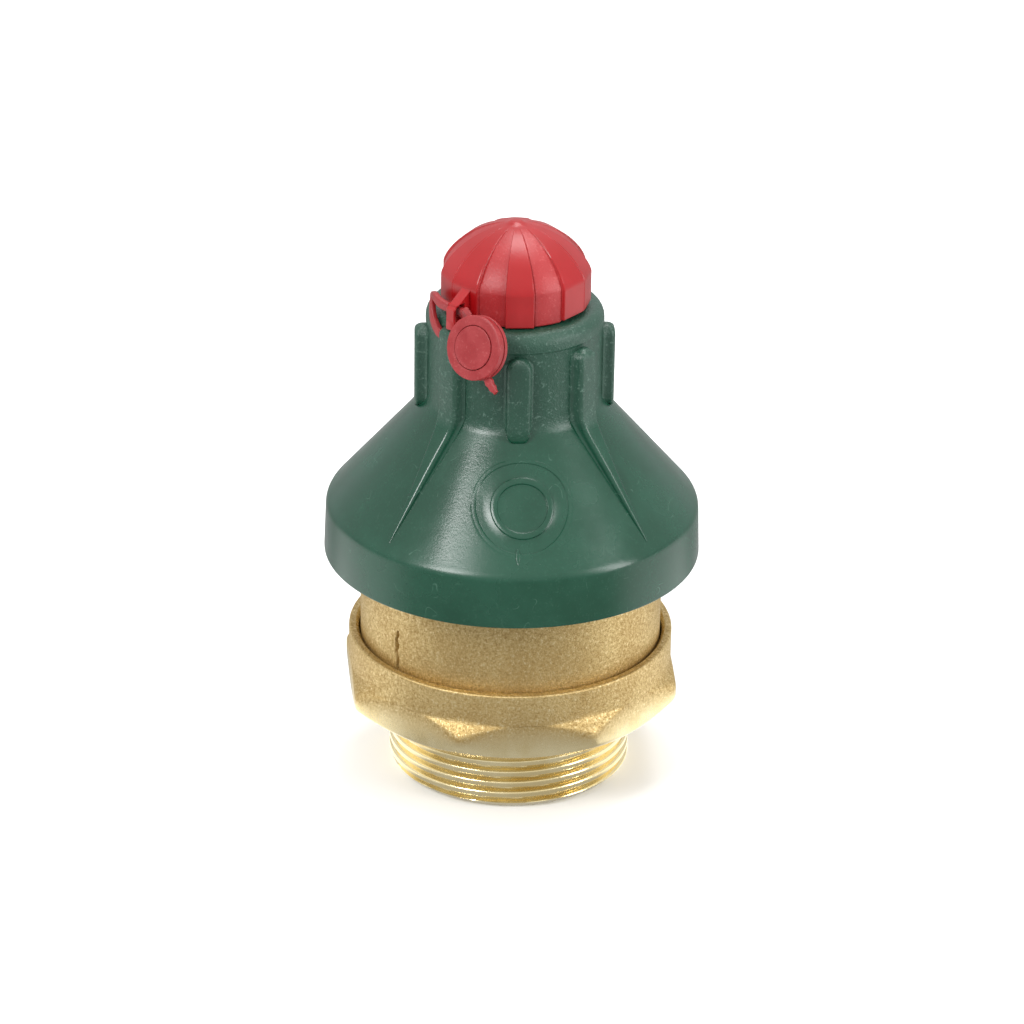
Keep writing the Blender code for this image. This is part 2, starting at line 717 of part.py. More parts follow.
def lock_nut():
    """Thin nut that locks the adjusting screw on top of the tube."""
    return drilled_nut(
        "lock_nut",
        LOCK_NUT_ACROSS_FLATS,
        SCREW_R + GAP,
        LOCK_NUT_Z,
        LOCK_NUT_THICKNESS,
        (TURNED_BRASS, 0.3, 1.0),
    )


# ---- Bell ------------------------------------------------------------------------------------
def shoulder_arc():
    """Quarter of an oval from the ring's top edge in to the cap's foot."""
    low = RING_BOTTOM_Z + RING_HEIGHT
    points = []
    for step in range(1, SHOULDER_STEPS + 1):
        turn = math.pi / 2 * step / SHOULDER_STEPS
        radius = SHOULDER_R + (RING_R - SHOULDER_R) * math.cos(turn)
        points.append((radius, low + (SHOULDER_Z - low) * math.sin(turn)))
    return points


def bell_outline():
    """Outline of the bell: outer face upward, then the inside downward."""
    slope = math.atan2(NECK_BOTTOM_Z - SKIRT_TOP_Z, SKIRT_TOP_R - NECK_R)
    inset = BELL_WALL / math.sin(slope)
    skirt_in = SKIRT_TOP_R - BELL_WALL
    skirt_run = (SKIRT_TOP_R - inset - skirt_in) * math.tan(slope)
    neck_run = (NECK_BORE_R - (NECK_R - inset)) * math.tan(slope)
    outer = [
        (SKIRT_R, SKIRT_BOTTOM_Z),
        (SKIRT_TOP_R, SKIRT_TOP_Z),
        (NECK_R, NECK_BOTTOM_Z),
        (NECK_R, RING_BOTTOM_Z),
        (RING_R, RING_BOTTOM_Z),
        (RING_R, RING_BOTTOM_Z + RING_HEIGHT),
    ]
    spigot = [
        (CAP_SPIGOT_R, SHOULDER_Z),
        (CAP_SPIGOT_R, ORING_Z - 1.3 * ORING_WIRE_R),
        (ORING_GROOVE_R, ORING_Z - 1.3 * ORING_WIRE_R),
        (ORING_GROOVE_R, ORING_Z + 1.3 * ORING_WIRE_R),
        (CAP_SPIGOT_R, ORING_Z + 1.3 * ORING_WIRE_R),
        (CAP_SPIGOT_R, SHOULDER_Z + CAP_SPIGOT_HEIGHT),
        (CAP_SPIGOT_BORE_R, SHOULDER_Z + CAP_SPIGOT_HEIGHT),
        (CAP_SPIGOT_BORE_R, WEB_TOP_Z),
        (WEB_BORE_R, WEB_TOP_Z),
        (WEB_BORE_R, WEB_Z),
    ]
    inner = [
        (NECK_BORE_R, WEB_Z),
        (NECK_BORE_R, NECK_BOTTOM_Z - neck_run),
        (skirt_in, SKIRT_TOP_Z + skirt_run),
        (SKIRT_R - BELL_WALL, SKIRT_BOTTOM_Z),
    ]
    return outer + shoulder_arc() + spigot + inner


def short_rib(bearing, name):
    """Upright rib with rounded ends, on the neck only."""
    root = NECK_R - NECK_WALL / 2
    run = RIB_R - NECK_R
    outline = [
        (root, RIB_BOTTOM_Z - run),
        (NECK_R, RIB_BOTTOM_Z - run),
        (RIB_R - run * 0.3, RIB_BOTTOM_Z - run * 0.3),
        (RIB_R, RIB_BOTTOM_Z + run * 0.7),
        (RIB_R, RIB_TOP_Z - run * 0.6),
        (RIB_R - run * 0.5, RIB_TOP_Z),
        (root, RIB_TOP_Z),
    ]
    rib = radial_plate(name, outline, RIB_WIDTH, bearing)
    round_edges(rib, RIB_BEVEL)
    return rib


def gusset_rib(bearing, name, top):
    """Rib that runs down the cone and tapers to a point near the skirt."""
    slope = (NECK_BOTTOM_Z - SKIRT_TOP_Z) / (NECK_R - SKIRT_TOP_R)
    root = NECK_R - NECK_WALL / 2
    sunk = BELL_WALL / 2
    tip_z = SKIRT_TOP_Z + slope * (GUSSET_TIP_R - SKIRT_TOP_R)
    run = RIB_R - NECK_R
    start = [
        (root, top),
        (RIB_R - run * 0.3, top),
        (RIB_R, top - run * 0.4),
        (RIB_R, NECK_BOTTOM_Z),
        (root, NECK_BOTTOM_Z - sunk),
    ]
    end_crown = (GUSSET_TIP_R, tip_z + GUSSET_TIP_HEIGHT)
    end_root = (GUSSET_TIP_R - sunk, tip_z - sunk)
    bm = bmesh.new()
    sides = []
    for sign in (-1, 1):
        wide = sign * RIB_WIDTH / 2
        thin = sign * GUSSET_TIP_WIDTH / 2
        corners = [bm.verts.new((wide, -radius, height)) for radius, height in start]
        corners.insert(4, bm.verts.new((thin, -end_crown[0], end_crown[1])))
        corners.insert(5, bm.verts.new((thin, -end_root[0], end_root[1])))
        sides.append(corners)
    left, right = sides
    for corners in sides:
        bm.faces.new(corners[:4] + corners[6:])
        bm.faces.new([corners[3], corners[4], corners[5], corners[6]])
    for i in range(len(left)):
        after = (i + 1) % len(left)
        bm.faces.new((left[i], left[after], right[after], right[i]))
    bmesh.ops.triangulate(bm, faces=bm.faces)
    bmesh.ops.rotate(bm, verts=bm.verts, matrix=Matrix.Rotation(bearing, 3, "Z"))
    return helper(add_object(name, bm))


def strap_hole(name, radius, height, bearing, thickness):
    """Cutter for a rectangular hole that lets the strap through a fin or lug."""
    across = STRAP_THICKNESS / 2 + STRAP_SLACK
    along = STRAP_WIDTH / 2 + STRAP_SLACK
    outline = [
        (radius - across, height - along),
        (radius + across, height - along),
        (radius + across, height + along),
        (radius - across, height + along),
    ]
    return radial_plate(name, outline, thickness * 2, bearing)


def bell_hood():
    """Rain bell: skirt, cone and neck with eight ribs, one of them raised as the seal's lug."""
    bell = turned("bell_hood", bell_outline(), FINE, (GREEN, 0.35, 0.0))
    for i in range(RIB_COUNT):
        bearing = RIB_FIRST_BEARING + i * 2 * math.pi / RIB_COUNT
        if i % 2:
            top = LUG_TOP_Z if i == LUG_RIB else RIB_TOP_Z
            rib = gusset_rib(bearing, f"gusset_rib_{i + 1}", top)
        else:
            rib = short_rib(bearing, f"short_rib_{i + 1}")
        combine(bell, rib, "UNION")
    hole = strap_hole("lug_hole", STRAP_LUG_R, STRAP_LUG_Z, LUG_BEARING, RIB_WIDTH)
    combine(bell, hole, "DIFFERENCE")
    return bell


def bell_washer():
    """Fibre washer between the tube's collar and the bell's web."""
    top = WASHER_Z + WASHER_THICKNESS
    fibre = (BLACK_RUBBER, 0.8, 0.0)
    return tube("bell_washer", WEB_BORE_R, WASHER_R, WASHER_Z, top, MEDIUM, fibre)


def bell_nut():
    """Slotted ring nut that clamps the bell to the tube."""
    top = BELL_NUT_Z + BELL_NUT_THICKNESS
    brass = (TURNED_BRASS, 0.3, 1.0)
    nut = tube("bell_nut", WEB_BORE_R, BELL_NUT_R, BELL_NUT_Z, top, MEDIUM, brass)
    low = BELL_NUT_Z + BELL_NUT_THICKNESS / 2
    outline = [
        (-BELL_NUT_R * 1.5, low),
        (BELL_NUT_R * 1.5, low),
        (BELL_NUT_R * 1.5, top + GAP),
        (-BELL_NUT_R * 1.5, top + GAP),
    ]
    for i in range(BELL_NUT_SLOTS // 2):
        bearing = math.pi / 4 + i * 2 * math.pi / BELL_NUT_SLOTS
        slot = radial_plate(f"nut_slot_{i + 1}", outline, BELL_NUT_SLOT, bearing)
        combine(nut, slot, "DIFFERENCE")
    return nut


# ---- Cap -------------------------------------------------------------------------------------
def dome(radius, low, high, going_up):
    """Points of a dome's outline, from its rim to the axis or back."""
    points = []
    for step in range(1, CAP_STEPS + 1):
        turn = math.pi / 2 * step / CAP_STEPS
        across = radius * max(math.cos(turn), 0.0) ** (2 / CAP_POWER)
        if step == CAP_STEPS:
            across = 0.0
        rise = math.sin(turn) ** (2 / CAP_RISE_POWER)
        points.append((across, low + (high - low) * rise))
    return points if going_up else points[::-1]


def cap():
    """Domed screw cap with the fin that takes the seal strap."""
    outer = [(CAP_R, CAP_BOTTOM_Z), (CAP_R, CAP_SHOULDER_Z)]
    outer += dome(CAP_R, CAP_SHOULDER_Z, CAP_TOP_Z, True)
    inner = dome(CAP_INNER_R, CAP_SHOULDER_Z, CAP_ROOF_Z, False)
    inner += [(CAP_INNER_R, CAP_SHOULDER_Z), (CAP_INNER_R, CAP_BOTTOM_Z)]
    made = turned("cap", outer + inner, MEDIUM + 16, (RED, 0.4, 0.0))
    root = (CAP_R + CAP_INNER_R) / 2
    outline = [
        (root, CAP_BOTTOM_Z + GAP),
        (FIN_FOOT_R - (CAP_BOTTOM_Z + GAP - FIN_FOOT_Z), CAP_BOTTOM_Z + GAP),
        (FIN_FOOT_R, FIN_FOOT_Z),
        (FIN_R, FIN_FOOT_Z),
        (FIN_R, FIN_CORNER_Z),
        (root, FIN_TOP_Z),
    ]
    fin = radial_plate("cap_fin", outline, FIN_THICKNESS, FIN_BEARING)
    combine(made, fin, "UNION")
    hole = strap_hole("fin_hole", STRAP_FIN_R, STRAP_FIN_Z, FIN_BEARING, FIN_THICKNESS)
    combine(made, hole, "DIFFERENCE")
    return made


def cap_o_ring():
    """Round ring in the spigot's groove that grips the cap."""
    middle = ORING_GROOVE_R + ORING_WIRE_R + GAP / 3
    sides = 8
    profile = []
    for k in range(sides):
        angle = 2 * math.pi * k / sides
        radius = middle + ORING_WIRE_R * math.cos(angle)
        profile.append((radius, ORING_Z + ORING_WIRE_R * math.sin(angle)))
    return turned("cap_o_ring", profile, MEDIUM, (BLACK_RUBBER, 0.6, 0.0))


# ---- Tamper seal -----------------------------------------------------------------------------
def seal_frame():
    """Placement of the seal: its local Z is the way the disc faces, its local Y leans up."""
    facing = polar(math.cos(SEAL_TILT), SEAL_FACING, math.sin(SEAL_TILT))
    sideways = Vector((0.0, 0.0, 1.0)).cross(facing).normalized()
    upright = facing.cross(sideways)
    turn = Matrix((sideways, upright, facing)).transposed().to_4x4()
    return Matrix.Translation(polar(SEAL_CENTRE_R, SEAL_BEARING, SEAL_CENTRE_Z)) @ turn


def place_seal_piece(made):
    """Move a piece modelled about the local axes to the seal's place."""
    made.data.transform(seal_frame())
    return made


def seal_disc():
    """Round seal body: back flange, groove, front rim and a pocket for the insert."""
    half = TAG_THICKNESS / 2
    groove_r = SEAL_R - SEAL_GROOVE_DEPTH
    pocket_r = INSERT_R + GAP
    profile = [
        (0.0, -half),
        (SEAL_R, -half),
        (SEAL_R, -half + SEAL_BACK),
        (groove_r, -half + SEAL_BACK),
        (groove_r, -half + SEAL_BACK + SEAL_GROOVE),
        (SEAL_R, -half + SEAL_BACK + SEAL_GROOVE),
        (SEAL_R, half - GAP),
        (SEAL_R - GAP, half),
        (pocket_r, half),
        (pocket_r, half - SEAL_POCKET_DEPTH),
        (0.0, half - SEAL_POCKET_DEPTH),
    ]
    return place_seal_piece(turned("seal_disc", profile, MEDIUM, (RED, 0.5, 0.0)))


def seal_insert():
    """Round locking insert pressed into the seal's face."""
    half = TAG_THICKNESS / 2
    low = half - SEAL_POCKET_DEPTH + GAP
    high = half + INSERT_PROUD
    profile = [(0.0, low), (INSERT_R, low), (INSERT_R, high - GAP), (INSERT_R - GAP, high), (0.0, high)]
    return place_seal_piece(turned("seal_insert", profile, COARSE, (RED, 0.5, 0.0)))


def seal_tail():
    """Cut end of the strap that stands out below the seal."""
    frame = seal_frame()
    way = Vector((math.sin(TAIL_BEARING), -math.cos(TAIL_BEARING), 0.0))
    start = way * (SEAL_R + GAP) + Vector((0.0, 0.0, -SEAL_BACK / 2))
    finish = (RED, 0.5, 0.0)
    path = [frame @ (start + way * TAIL_LENGTH * share) for share in (0.0, 0.35, 0.7, 1.0)]
    outward = frame.to_3x3() @ Vector((0.0, 0.0, 1.0))
    half_thick = STRAP_THICKNESS / 2
    half_wide = STRAP_WIDTH / 2
    return swept("seal_tail", path, half_thick, half_wide, 8, finish, lambda point: outward)


def seal_hinge_point():
    """Where the strap leaves the seal's upper rim, behind its groove: the seal swings here."""
    across = -SEAL_R * math.sin(STRAP_BEARING)
    upward = SEAL_R * math.cos(STRAP_BEARING)
    return seal_frame() @ Vector((across, upward, -SEAL_BACK * 0.9))


def seal_strap():
    """Moulded loop: seal, cap fin, round to the left, bell lug and back behind the seal."""
    frame = seal_frame()
    centre = frame.translation
    start = seal_hinge_point()
    start += (start - centre).normalized() * (GAP + STRAP_WIDTH / 2)
    half = TAG_THICKNESS / 2
    behind = -half - GAP - STRAP_THICKNESS
    end = frame @ Vector((-SEAL_R * 0.75, -SEAL_R * 0.25, behind))
    route = [
        start,
        polar(STRAP_FIN_R + STRAP_THICKNESS, math.radians(-33.0), STRAP_FIN_Z + 0.0002),
        polar(STRAP_FIN_R, math.radians(-37.0), STRAP_FIN_Z),
        polar(STRAP_FIN_R, math.radians(-45.0), STRAP_FIN_Z),
        polar(0.0169, math.radians(-56.0), 0.1008),
        polar(0.0163, math.radians(-68.0), 0.1007),
        polar(0.0160, math.radians(-76.0), 0.0997),
        polar(0.0167, math.radians(-70.0), 0.0985),
        polar(0.0175, math.radians(-61.5), 0.0971),
        polar(0.0179, math.radians(-54.5), 0.0959),
        polar(STRAP_LUG_R, LUG_BEARING - math.radians(7.0), STRAP_LUG_Z),
        polar(STRAP_LUG_R, LUG_BEARING + math.radians(7.0), STRAP_LUG_Z),
        end,
    ]
    path = smooth_path(route, 3)
    finish = (RED, 0.5, 0.0)
    return swept("seal_strap", path, STRAP_THICKNESS / 2, STRAP_WIDTH / 2, 8, finish)


# ---- Assembly --------------------------------------------------------------------------------
def main():
    """Build every piece and hang the moving ones on their axes."""
    clear_scene()
    for make in (valve_body, seat_ring, body_gasket, outlet_sleeve, stem_guide_bush):
        make()
    for make in (spring_tube, lock_nut, bell_hood, bell_washer, bell_nut, cap_o_ring, seal_strap):
        make()
    main_spring()
    lifting = [valve_disc(), disc_seal(), seal_retainer(), retainer_nut(), valve_stem()]
    lifting += [stem_clip(), spring_plate("lower_spring_plate", LOWER_PLATE_Z)]
    hang_on(pivot("lift_axis", Vector((0.0, 0.0, RUBBER_Z))), lifting)
    plate = [spring_plate("upper_spring_plate", UPPER_PLATE_Z)]
    hang_on(pivot("plate_axis", Vector((0.0, 0.0, UPPER_PLATE_Z))), plate)
    hang_on(pivot("screw_axis", Vector((0.0, 0.0, SCREW_Z))), [adjusting_screw()])
    hang_on(pivot("cap_axis", Vector((0.0, 0.0, CAP_BOTTOM_Z))), [cap()])
    swinging = [seal_disc(), seal_insert(), seal_tail()]
    hang_on(pivot("seal_hinge", seal_hinge_point()), swinging)


main()
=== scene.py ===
"""Air vent with a brass body, a green plastic bell and a sealed red cap: the finished look.

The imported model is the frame. Everything turns on the Z axis; the front is -Y, and a bearing is
the angle from the front, positive towards +X. Lengths are in metres.
"""
import math

import bpy
import numpy as np
from mathutils import Matrix, Vector


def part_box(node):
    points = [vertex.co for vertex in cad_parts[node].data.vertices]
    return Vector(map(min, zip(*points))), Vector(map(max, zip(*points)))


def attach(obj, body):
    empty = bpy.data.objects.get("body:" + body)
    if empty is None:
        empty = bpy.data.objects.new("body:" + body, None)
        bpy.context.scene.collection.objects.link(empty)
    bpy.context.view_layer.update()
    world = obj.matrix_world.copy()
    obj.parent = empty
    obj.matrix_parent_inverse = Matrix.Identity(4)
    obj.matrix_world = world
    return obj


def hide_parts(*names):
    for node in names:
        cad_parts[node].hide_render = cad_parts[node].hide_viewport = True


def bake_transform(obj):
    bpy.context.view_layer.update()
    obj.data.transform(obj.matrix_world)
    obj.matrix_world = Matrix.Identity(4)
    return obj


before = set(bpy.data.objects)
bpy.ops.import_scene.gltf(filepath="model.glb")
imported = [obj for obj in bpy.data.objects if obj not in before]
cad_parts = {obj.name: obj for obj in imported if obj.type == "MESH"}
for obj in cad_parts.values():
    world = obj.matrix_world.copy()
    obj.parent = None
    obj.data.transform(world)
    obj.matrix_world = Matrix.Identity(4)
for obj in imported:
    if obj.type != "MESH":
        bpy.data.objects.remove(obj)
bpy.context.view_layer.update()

# ---- Sizes -----------------------------------------------------------------------------------
ROUND_COLUMNS = 300             # columns round the large pieces
SMALL_COLUMNS = 96              # columns round the small ones
SHARP = math.radians(34)

BORE_R = 0.0185
THREAD_R = 0.0239
THREAD_ROOT_R = 0.02242
THREAD_PITCH = 0.002309
THREAD_FIRST_Z = 0.00064
THREAD_END_R = 0.0225
THREAD_RUNOUT_Z = 0.0126
THREAD_ROWS = 118
FOOT_Z = 0.0140
FOOT_R = 0.0296
FOOT_SLOPE = math.tan(math.radians(33))
FLAT_R = 0.0317
FLAT_BEARING = math.radians(6.3)
FLAT_TOP_Z = 0.0224
FLAT_TOP_SLOPE = math.tan(math.radians(36))
CORNER_POWER = 110              # the higher, the sharper the corners of the octagon
COLLAR_R = 0.0319
COLLAR_TOP_Z = 0.0290
COLLAR_BORE_R = 0.0299
SLEEVE_R = 0.0296
SLEEVE_BORE_R = 0.0264
SLEEVE_Z = 0.0215
SLEEVE_TOP_Z = 0.0540
SLIT_BEARING = math.radians(-47.3)
SLIT_Z = (0.0285, 0.0366)
HUB_Z = (0.0418, 0.0498)
HUB_R = 0.0090
SPIGOT_R = 0.0070
SPIGOT_TOP_Z = 0.0548
BUSH_R = 0.0047
POCKET_R = 0.0213               # holds the seat ring
POCKET_Z = 0.0170
LEDGE_Z = 0.0200                # inside, below the sleeve
SEAT_R = 0.0210
SEAT_Z = (0.0143, 0.0178)
SPRING_WIRE_R = 0.0009
SPRING_MEAN_R = 0.0054
SPRING_TURNS = 7.0
ARC_STEPS = 5                   # points on each rounded corner

SKIRT_R = 0.0367
SKIRT_Z = 0.0460
CONE_R = 0.0363
CONE_Z = 0.0561
NECK_R = 0.01685
NECK_Z = 0.0785
RING_R = 0.0171
RING_Z = (0.0935, 0.0947)
SHOULDER_R = 0.0146
SHOULDER_Z = 0.0974
SPIGOT_CAP_R = 0.0127
RIB_R = 0.0192
RIB_TOP_Z = 0.0930
RIB_FOOT_Z = 0.0757
RIB_WIDTH = 0.0046
RIB_BEARING = math.radians(3.0)
RIB_COUNT = 8
LUG_RIB = 7
LUG_TOP_Z = 0.0969
GUSSET_TIP_R = 0.0345
BADGE_R = 0.0090                # round recess on the front of the cone
BADGE_RING = (0.0048, 0.0060)
BADGE_BEARING = math.radians(4.1)
BADGE_CENTRE_R = 0.0272

CAP_R = 0.01445
CAP_Z = 0.0977
CAP_SHOULDER_Z = 0.1045
CAP_TOP_Z = 0.1140
CAP_POWERS = (2 / 1.9, 2 / 1.43)
PANEL_EDGES = np.radians([-7.4, 15.0, 39.5, 64.5, 90.0, 112.6])
PANEL_DEPTH = 0.00070
FIN_BEARING = math.radians(-41.0)
FIN_THICKNESS = 0.0021
FIN_BEVEL = 0.00018
FIN_OUTLINE = [(0.0138, 0.0981), (0.0159, 0.0981), (0.0163, 0.0972), (0.0186, 0.0972),
               (0.0186, 0.1014), (0.0138, 0.1044)]
FIN_HOLE = [(0.0157, 0.0991), (0.0179, 0.0991), (0.0179, 0.1020), (0.0157, 0.1020)]
CAP_INNER_R = 0.0131
CAP_INNER_RISE = 0.0076
CAP_ROOF = 0.0019

SEAL_R = 0.0061
SEAL_HALF = 0.00135
SEAL_CENTRE = (0.0220, math.radians(-18.5), 0.0966)
SEAL_FACING = math.radians(-37.0)
SEAL_TILT = math.radians(18.0)
INSERT_R = 0.0041
STRAP_HALF = (0.00058, 0.00090)
STRAP_ROUTE = [                 # radius, bearing in degrees, height
    (0.0175, -33.0, 0.10075), (0.0166, -37.0, 0.10055), (0.0166, -45.0, 0.10055),
    (0.0169, -56.0, 0.1008), (0.0163, -68.0, 0.1007), (0.0160, -76.0, 0.0997),
    (0.0167, -70.0, 0.0985), (0.0175, -61.5, 0.0971), (0.0179, -54.5, 0.0959),
    (0.0179, -49.0, 0.0953), (0.0179, -35.0, 0.0953)]

CAMERA_DISTANCE = 0.800
CAMERA_LIFT = math.radians(25.5)
CAMERA_ROLL = math.radians(-0.9)
CAMERA_AIM = (0.0, 0.0, 0.0529)
CAMERA_LENS = 143.96            # mm, on a 36 mm sensor
LIGHT_AIM = (0.0, 0.0, 0.06)

CAST_TONES = ((196, 170, 116), (208, 184, 130))
# painted shade for the grain's pits and painted glints for its highest spots
CAST_PIT_SHADE_TONE = (166, 138, 86)
CAST_GLINT_TONE = (232, 214, 168)
CAST_GRAIN_DEPTH = 0.00016


# ---- Mesh tools ------------------------------------------------------------------------------
def around(radius, bearing, height):
    """Points at a radius, a bearing from the front and a height."""
    radius, bearing, height = np.broadcast_arrays(radius, bearing, height)
    return np.stack([radius * np.sin(bearing), -radius * np.cos(bearing), height], -1)


def rounded(corners, radii, steps=5):
    """Each corner of an outline becomes a short parabola from the point one radius before it to
    the point one radius after it; no cut takes more than 0.45 of a side."""
    corners = np.asarray(corners, float)
    before, after = np.roll(corners, 1, 0) - corners, np.roll(corners, -1, 0) - corners
    reach = [np.linalg.norm(way, axis=-1, keepdims=True) for way in (before, after)]
    shape = (-1,) + (1,) * (corners.ndim - 1)
    radii = np.asarray(radii, float).reshape(shape)
    cut = np.minimum(radii, 0.45 * np.minimum(reach[0], reach[1]))
    first = corners + before / np.maximum(reach[0], 1e-12) * cut
    last = corners + after / np.maximum(reach[1], 1e-12) * cut
    share = np.linspace(0, 1, steps).reshape((1, -1) + (1,) * (corners.ndim - 1))
    first, last, middle = first[:, None], last[:, None], corners[:, None]
    curve = (1 - share) ** 2 * first + 2 * share * (1 - share) * middle + share ** 2 * last
    return curve.reshape((-1,) + corners.shape[1:])


def thinned(outline):
    """The outline without points that repeat the one before."""
    gap = np.linalg.norm(outline - np.roll(outline, 1, 0), axis=-1)
    while gap.ndim > 1:
        gap = gap.max(-1)
    return outline[gap > 2e-7]


def divided(outline, step):
    """Extra points on an open outline, evenly spaced no further apart than a step."""
    length = np.concatenate([[0], np.cumsum(np.linalg.norm(np.diff(outline, axis=0), axis=1))])
    even = np.linspace(0, length[-1], int(length[-1] / step) + 2)
    far = np.abs(even[:, None] - length[None, :]).min(1) > step * 0.3
    every = np.sort(np.concatenate([length, even[far]]))
    return np.stack([np.interp(every, length, outline[:, k]) for k in range(outline.shape[1])], 1)


def shell(points, wrap_rows=False, ends="caps"):
    """Closed surface over a grid of points whose rows are rings. The ends are flat caps, or poles
    where a row is one point; with wrap_rows the last ring joins the first. Faces point out."""
    rows, columns = points.shape[:2]
    index = np.arange(rows * columns).reshape(rows, columns)
    if ends == "poles":
        index[0], index[-1] = index[0, 0], index[-1, 0]
    low = index if wrap_rows else index[:-1]
    high = np.roll(index, -1, 0) if wrap_rows else index[1:]
    faces = np.stack([low, np.roll(low, -1, 1), np.roll(high, -1, 1), high], -1)
    if ends == "poles":
        quads = faces[1:-1].reshape(-1, 4)
        extra = [faces[0][:, [0, 2, 3]], faces[-1][:, [0, 1, 2]]]
        polygons = quads.tolist() + np.concatenate(extra).tolist()
    else:
        polygons = faces.reshape(-1, 4).tolist()
        if not wrap_rows:
            polygons += [index[0, ::-1].tolist(), index[-1].tolist()]
    flat = points.reshape(-1, 3)
    a, b, c, d = (flat[faces[..., k]].reshape(-1, 3) for k in range(4))
    middle = flat.mean(0)
    volume = np.einsum("ij,ij->i", np.cross(a - middle, b - middle), c - middle).sum()
    volume += np.einsum("ij,ij->i", np.cross(a - middle, c - middle), d - middle).sum()
    if volume < 0:
        polygons = [face[::-1] for face in polygons]
    return flat, polygons


def piece(name, shells, body, finish, nodes, values=None):
    """One object from several closed shells, riding on its body in place of its CAD nodes. Values
    holds a share for each point, kept as the attribute "worked"."""
    count = np.cumsum([0] + [len(points) for points, _ in shells])
    points = np.concatenate([points for points, _ in shells])
    polygons = [[corner + start for corner in face]
                for (_, faces), start in zip(shells, count) for face in faces]
    corners = np.concatenate([np.asarray(face) for face in polygons])
    used, places = np.unique(corners, return_inverse=True)
    cuts = np.cumsum([len(face) for face in polygons])[:-1]
    mesh = bpy.data.meshes.new(name)
    mesh.from_pydata(points[used].tolist(), [], [face.tolist() for face in np.split(places, cuts)])
    if values is not None:
        worked = mesh.attributes.new("worked", "FLOAT", "POINT")
        worked.data.foreach_set("value", np.asarray(values, np.float32)[used])
    mesh.update()
    mesh.shade_smooth()
    mesh.set_sharp_from_angle(angle=SHARP)
    mesh.materials.append(finish)
    made = bpy.data.objects.new(name, mesh)
    bpy.context.scene.collection.objects.link(made)
    if body:
        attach(made, body)
    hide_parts(*nodes)
    return made


def turned(corners, radii, columns, steps=5):
    """Closed outline of radius and height carried round the axis."""
    outline = thinned(rounded(corners, radii, steps))
    bearing = np.linspace(0, 2 * math.pi, columns, endpoint=False)
    return shell(around(outline[:, :1], bearing[None, :], outline[:, 1:]), wrap_rows=True)


def turned_solid(corners, radii, columns, steps=5):
    """Open outline that starts and ends on the axis, carried round it to a closed solid."""
    corners = np.asarray(corners, float)
    outline = rounded(corners, radii, steps)
    outline = np.concatenate([corners[:1], outline[steps:-steps], corners[-1:]])
    keep = np.linalg.norm(np.diff(outline, axis=0, prepend=outline[:1] - 1), axis=1) > 2e-7
    outline = outline[keep]
    bearing = np.linspace(0, 2 * math.pi, columns, endpoint=False)
    return shell(around(outline[:, :1], bearing[None, :], outline[:, 1:]), ends="poles")


def smooth_path(route, steps):
    """Catmull-Rom curve through the points of a route."""
    route = np.asarray(route, float)
    padded = np.concatenate([2 * route[:1] - route[1:2], route, 2 * route[-1:] - route[-2:-1]])
    a, b, c, d = padded[:-3, None], padded[1:-2, None], padded[2:-1, None], padded[3:, None]
    t = np.linspace(0, 1, steps, endpoint=False)[None, :, None]
    curve = 0.5 * (2 * b + (c - a) * t + (2 * a - 5 * b + 4 * c - d) * t ** 2
                   + (3 * b - a - 3 * c + d) * t ** 3)
    return np.concatenate([curve.reshape(-1, 3), route[-1:]])


def swept(path, thick, wide, outward, sides=20, power=5.0):
    """Rounded bar along a path: each ring is a superellipse whose thick half-size points outward
    and whose wide half-size lies across the path."""
    along = np.gradient(path, axis=0)
    along /= np.linalg.norm(along, axis=1, keepdims=True)
    side = np.cross(along, outward)
    side /= np.linalg.norm(side, axis=1, keepdims=True)
    out = np.cross(side, along)
    angle = np.linspace(0, 2 * math.pi, sides, endpoint=False)[None, :, None]
    x = np.sign(np.cos(angle)) * np.abs(np.cos(angle)) ** (2 / power)
    y = np.sign(np.sin(angle)) * np.abs(np.sin(angle)) ** (2 / power)
    thick, wide = (np.broadcast_to(size, len(path))[:, None, None] for size in (thick, wide))
    return shell(path[:, None] + x * thick * out[:, None] + y * wide * side[:, None])


def star(outline, centre, angles):
    """Where rays from a centre cross an outline that is seen whole from there."""
    start = np.asarray(outline, float) - centre
    edge = np.roll(start, -1, 0) - start
    ray = np.stack([np.cos(angles), np.sin(angles)], -1)[:, None, :]
    cross = lambda p, q: p[..., 0] * q[..., 1] - p[..., 1] * q[..., 0]
    below = cross(ray, edge[None])
    below = np.where(np.abs(below) < 1e-12, 1e-12, below)
    distance = cross(start[None], edge[None]) / below
    share = cross(start[None], ray) / below
    good = (distance > 0) & (share >= -1e-6) & (share <= 1 + 1e-6)
    distance = np.where(good, distance, np.inf).min(1)
    return centre + ray[:, 0] * distance[:, None]


def plate_with_hole(outline, hole, thickness, bearing, bevel):
    """Flat plate that stands on a bearing, with a hole through it: rings of the outline and of
    the hole, each at both faces and with a bevel between, close round the plate."""
    hole = np.asarray(hole, float)
    centre = hole.mean(0)
    corners = np.concatenate([np.asarray(outline, float), hole]) - centre
    angles = np.concatenate([np.arctan2(corners[:, 1], corners[:, 0]),
                             np.linspace(-math.pi, math.pi, 48, endpoint=False)])
    angles = np.unique(np.round(angles, 4))
    outer, inner = star(outline, centre, angles), star(hole, centre, angles)
    way = np.stack([np.cos(angles), np.sin(angles)], -1) * bevel
    half = thickness / 2
    rings = [(outer - way, half), (outer, half - bevel), (outer, bevel - half), (outer - way, -half),
             (inner + way, -half), (inner, bevel - half), (inner, half - bevel), (inner + way, half)]
    across = np.array([math.cos(bearing), math.sin(bearing), 0.0])
    points = [around(ring[:, 0], bearing, ring[:, 1]) + shift * across for ring, shift in rings]
    return shell(np.stack(points), wrap_rows=True)


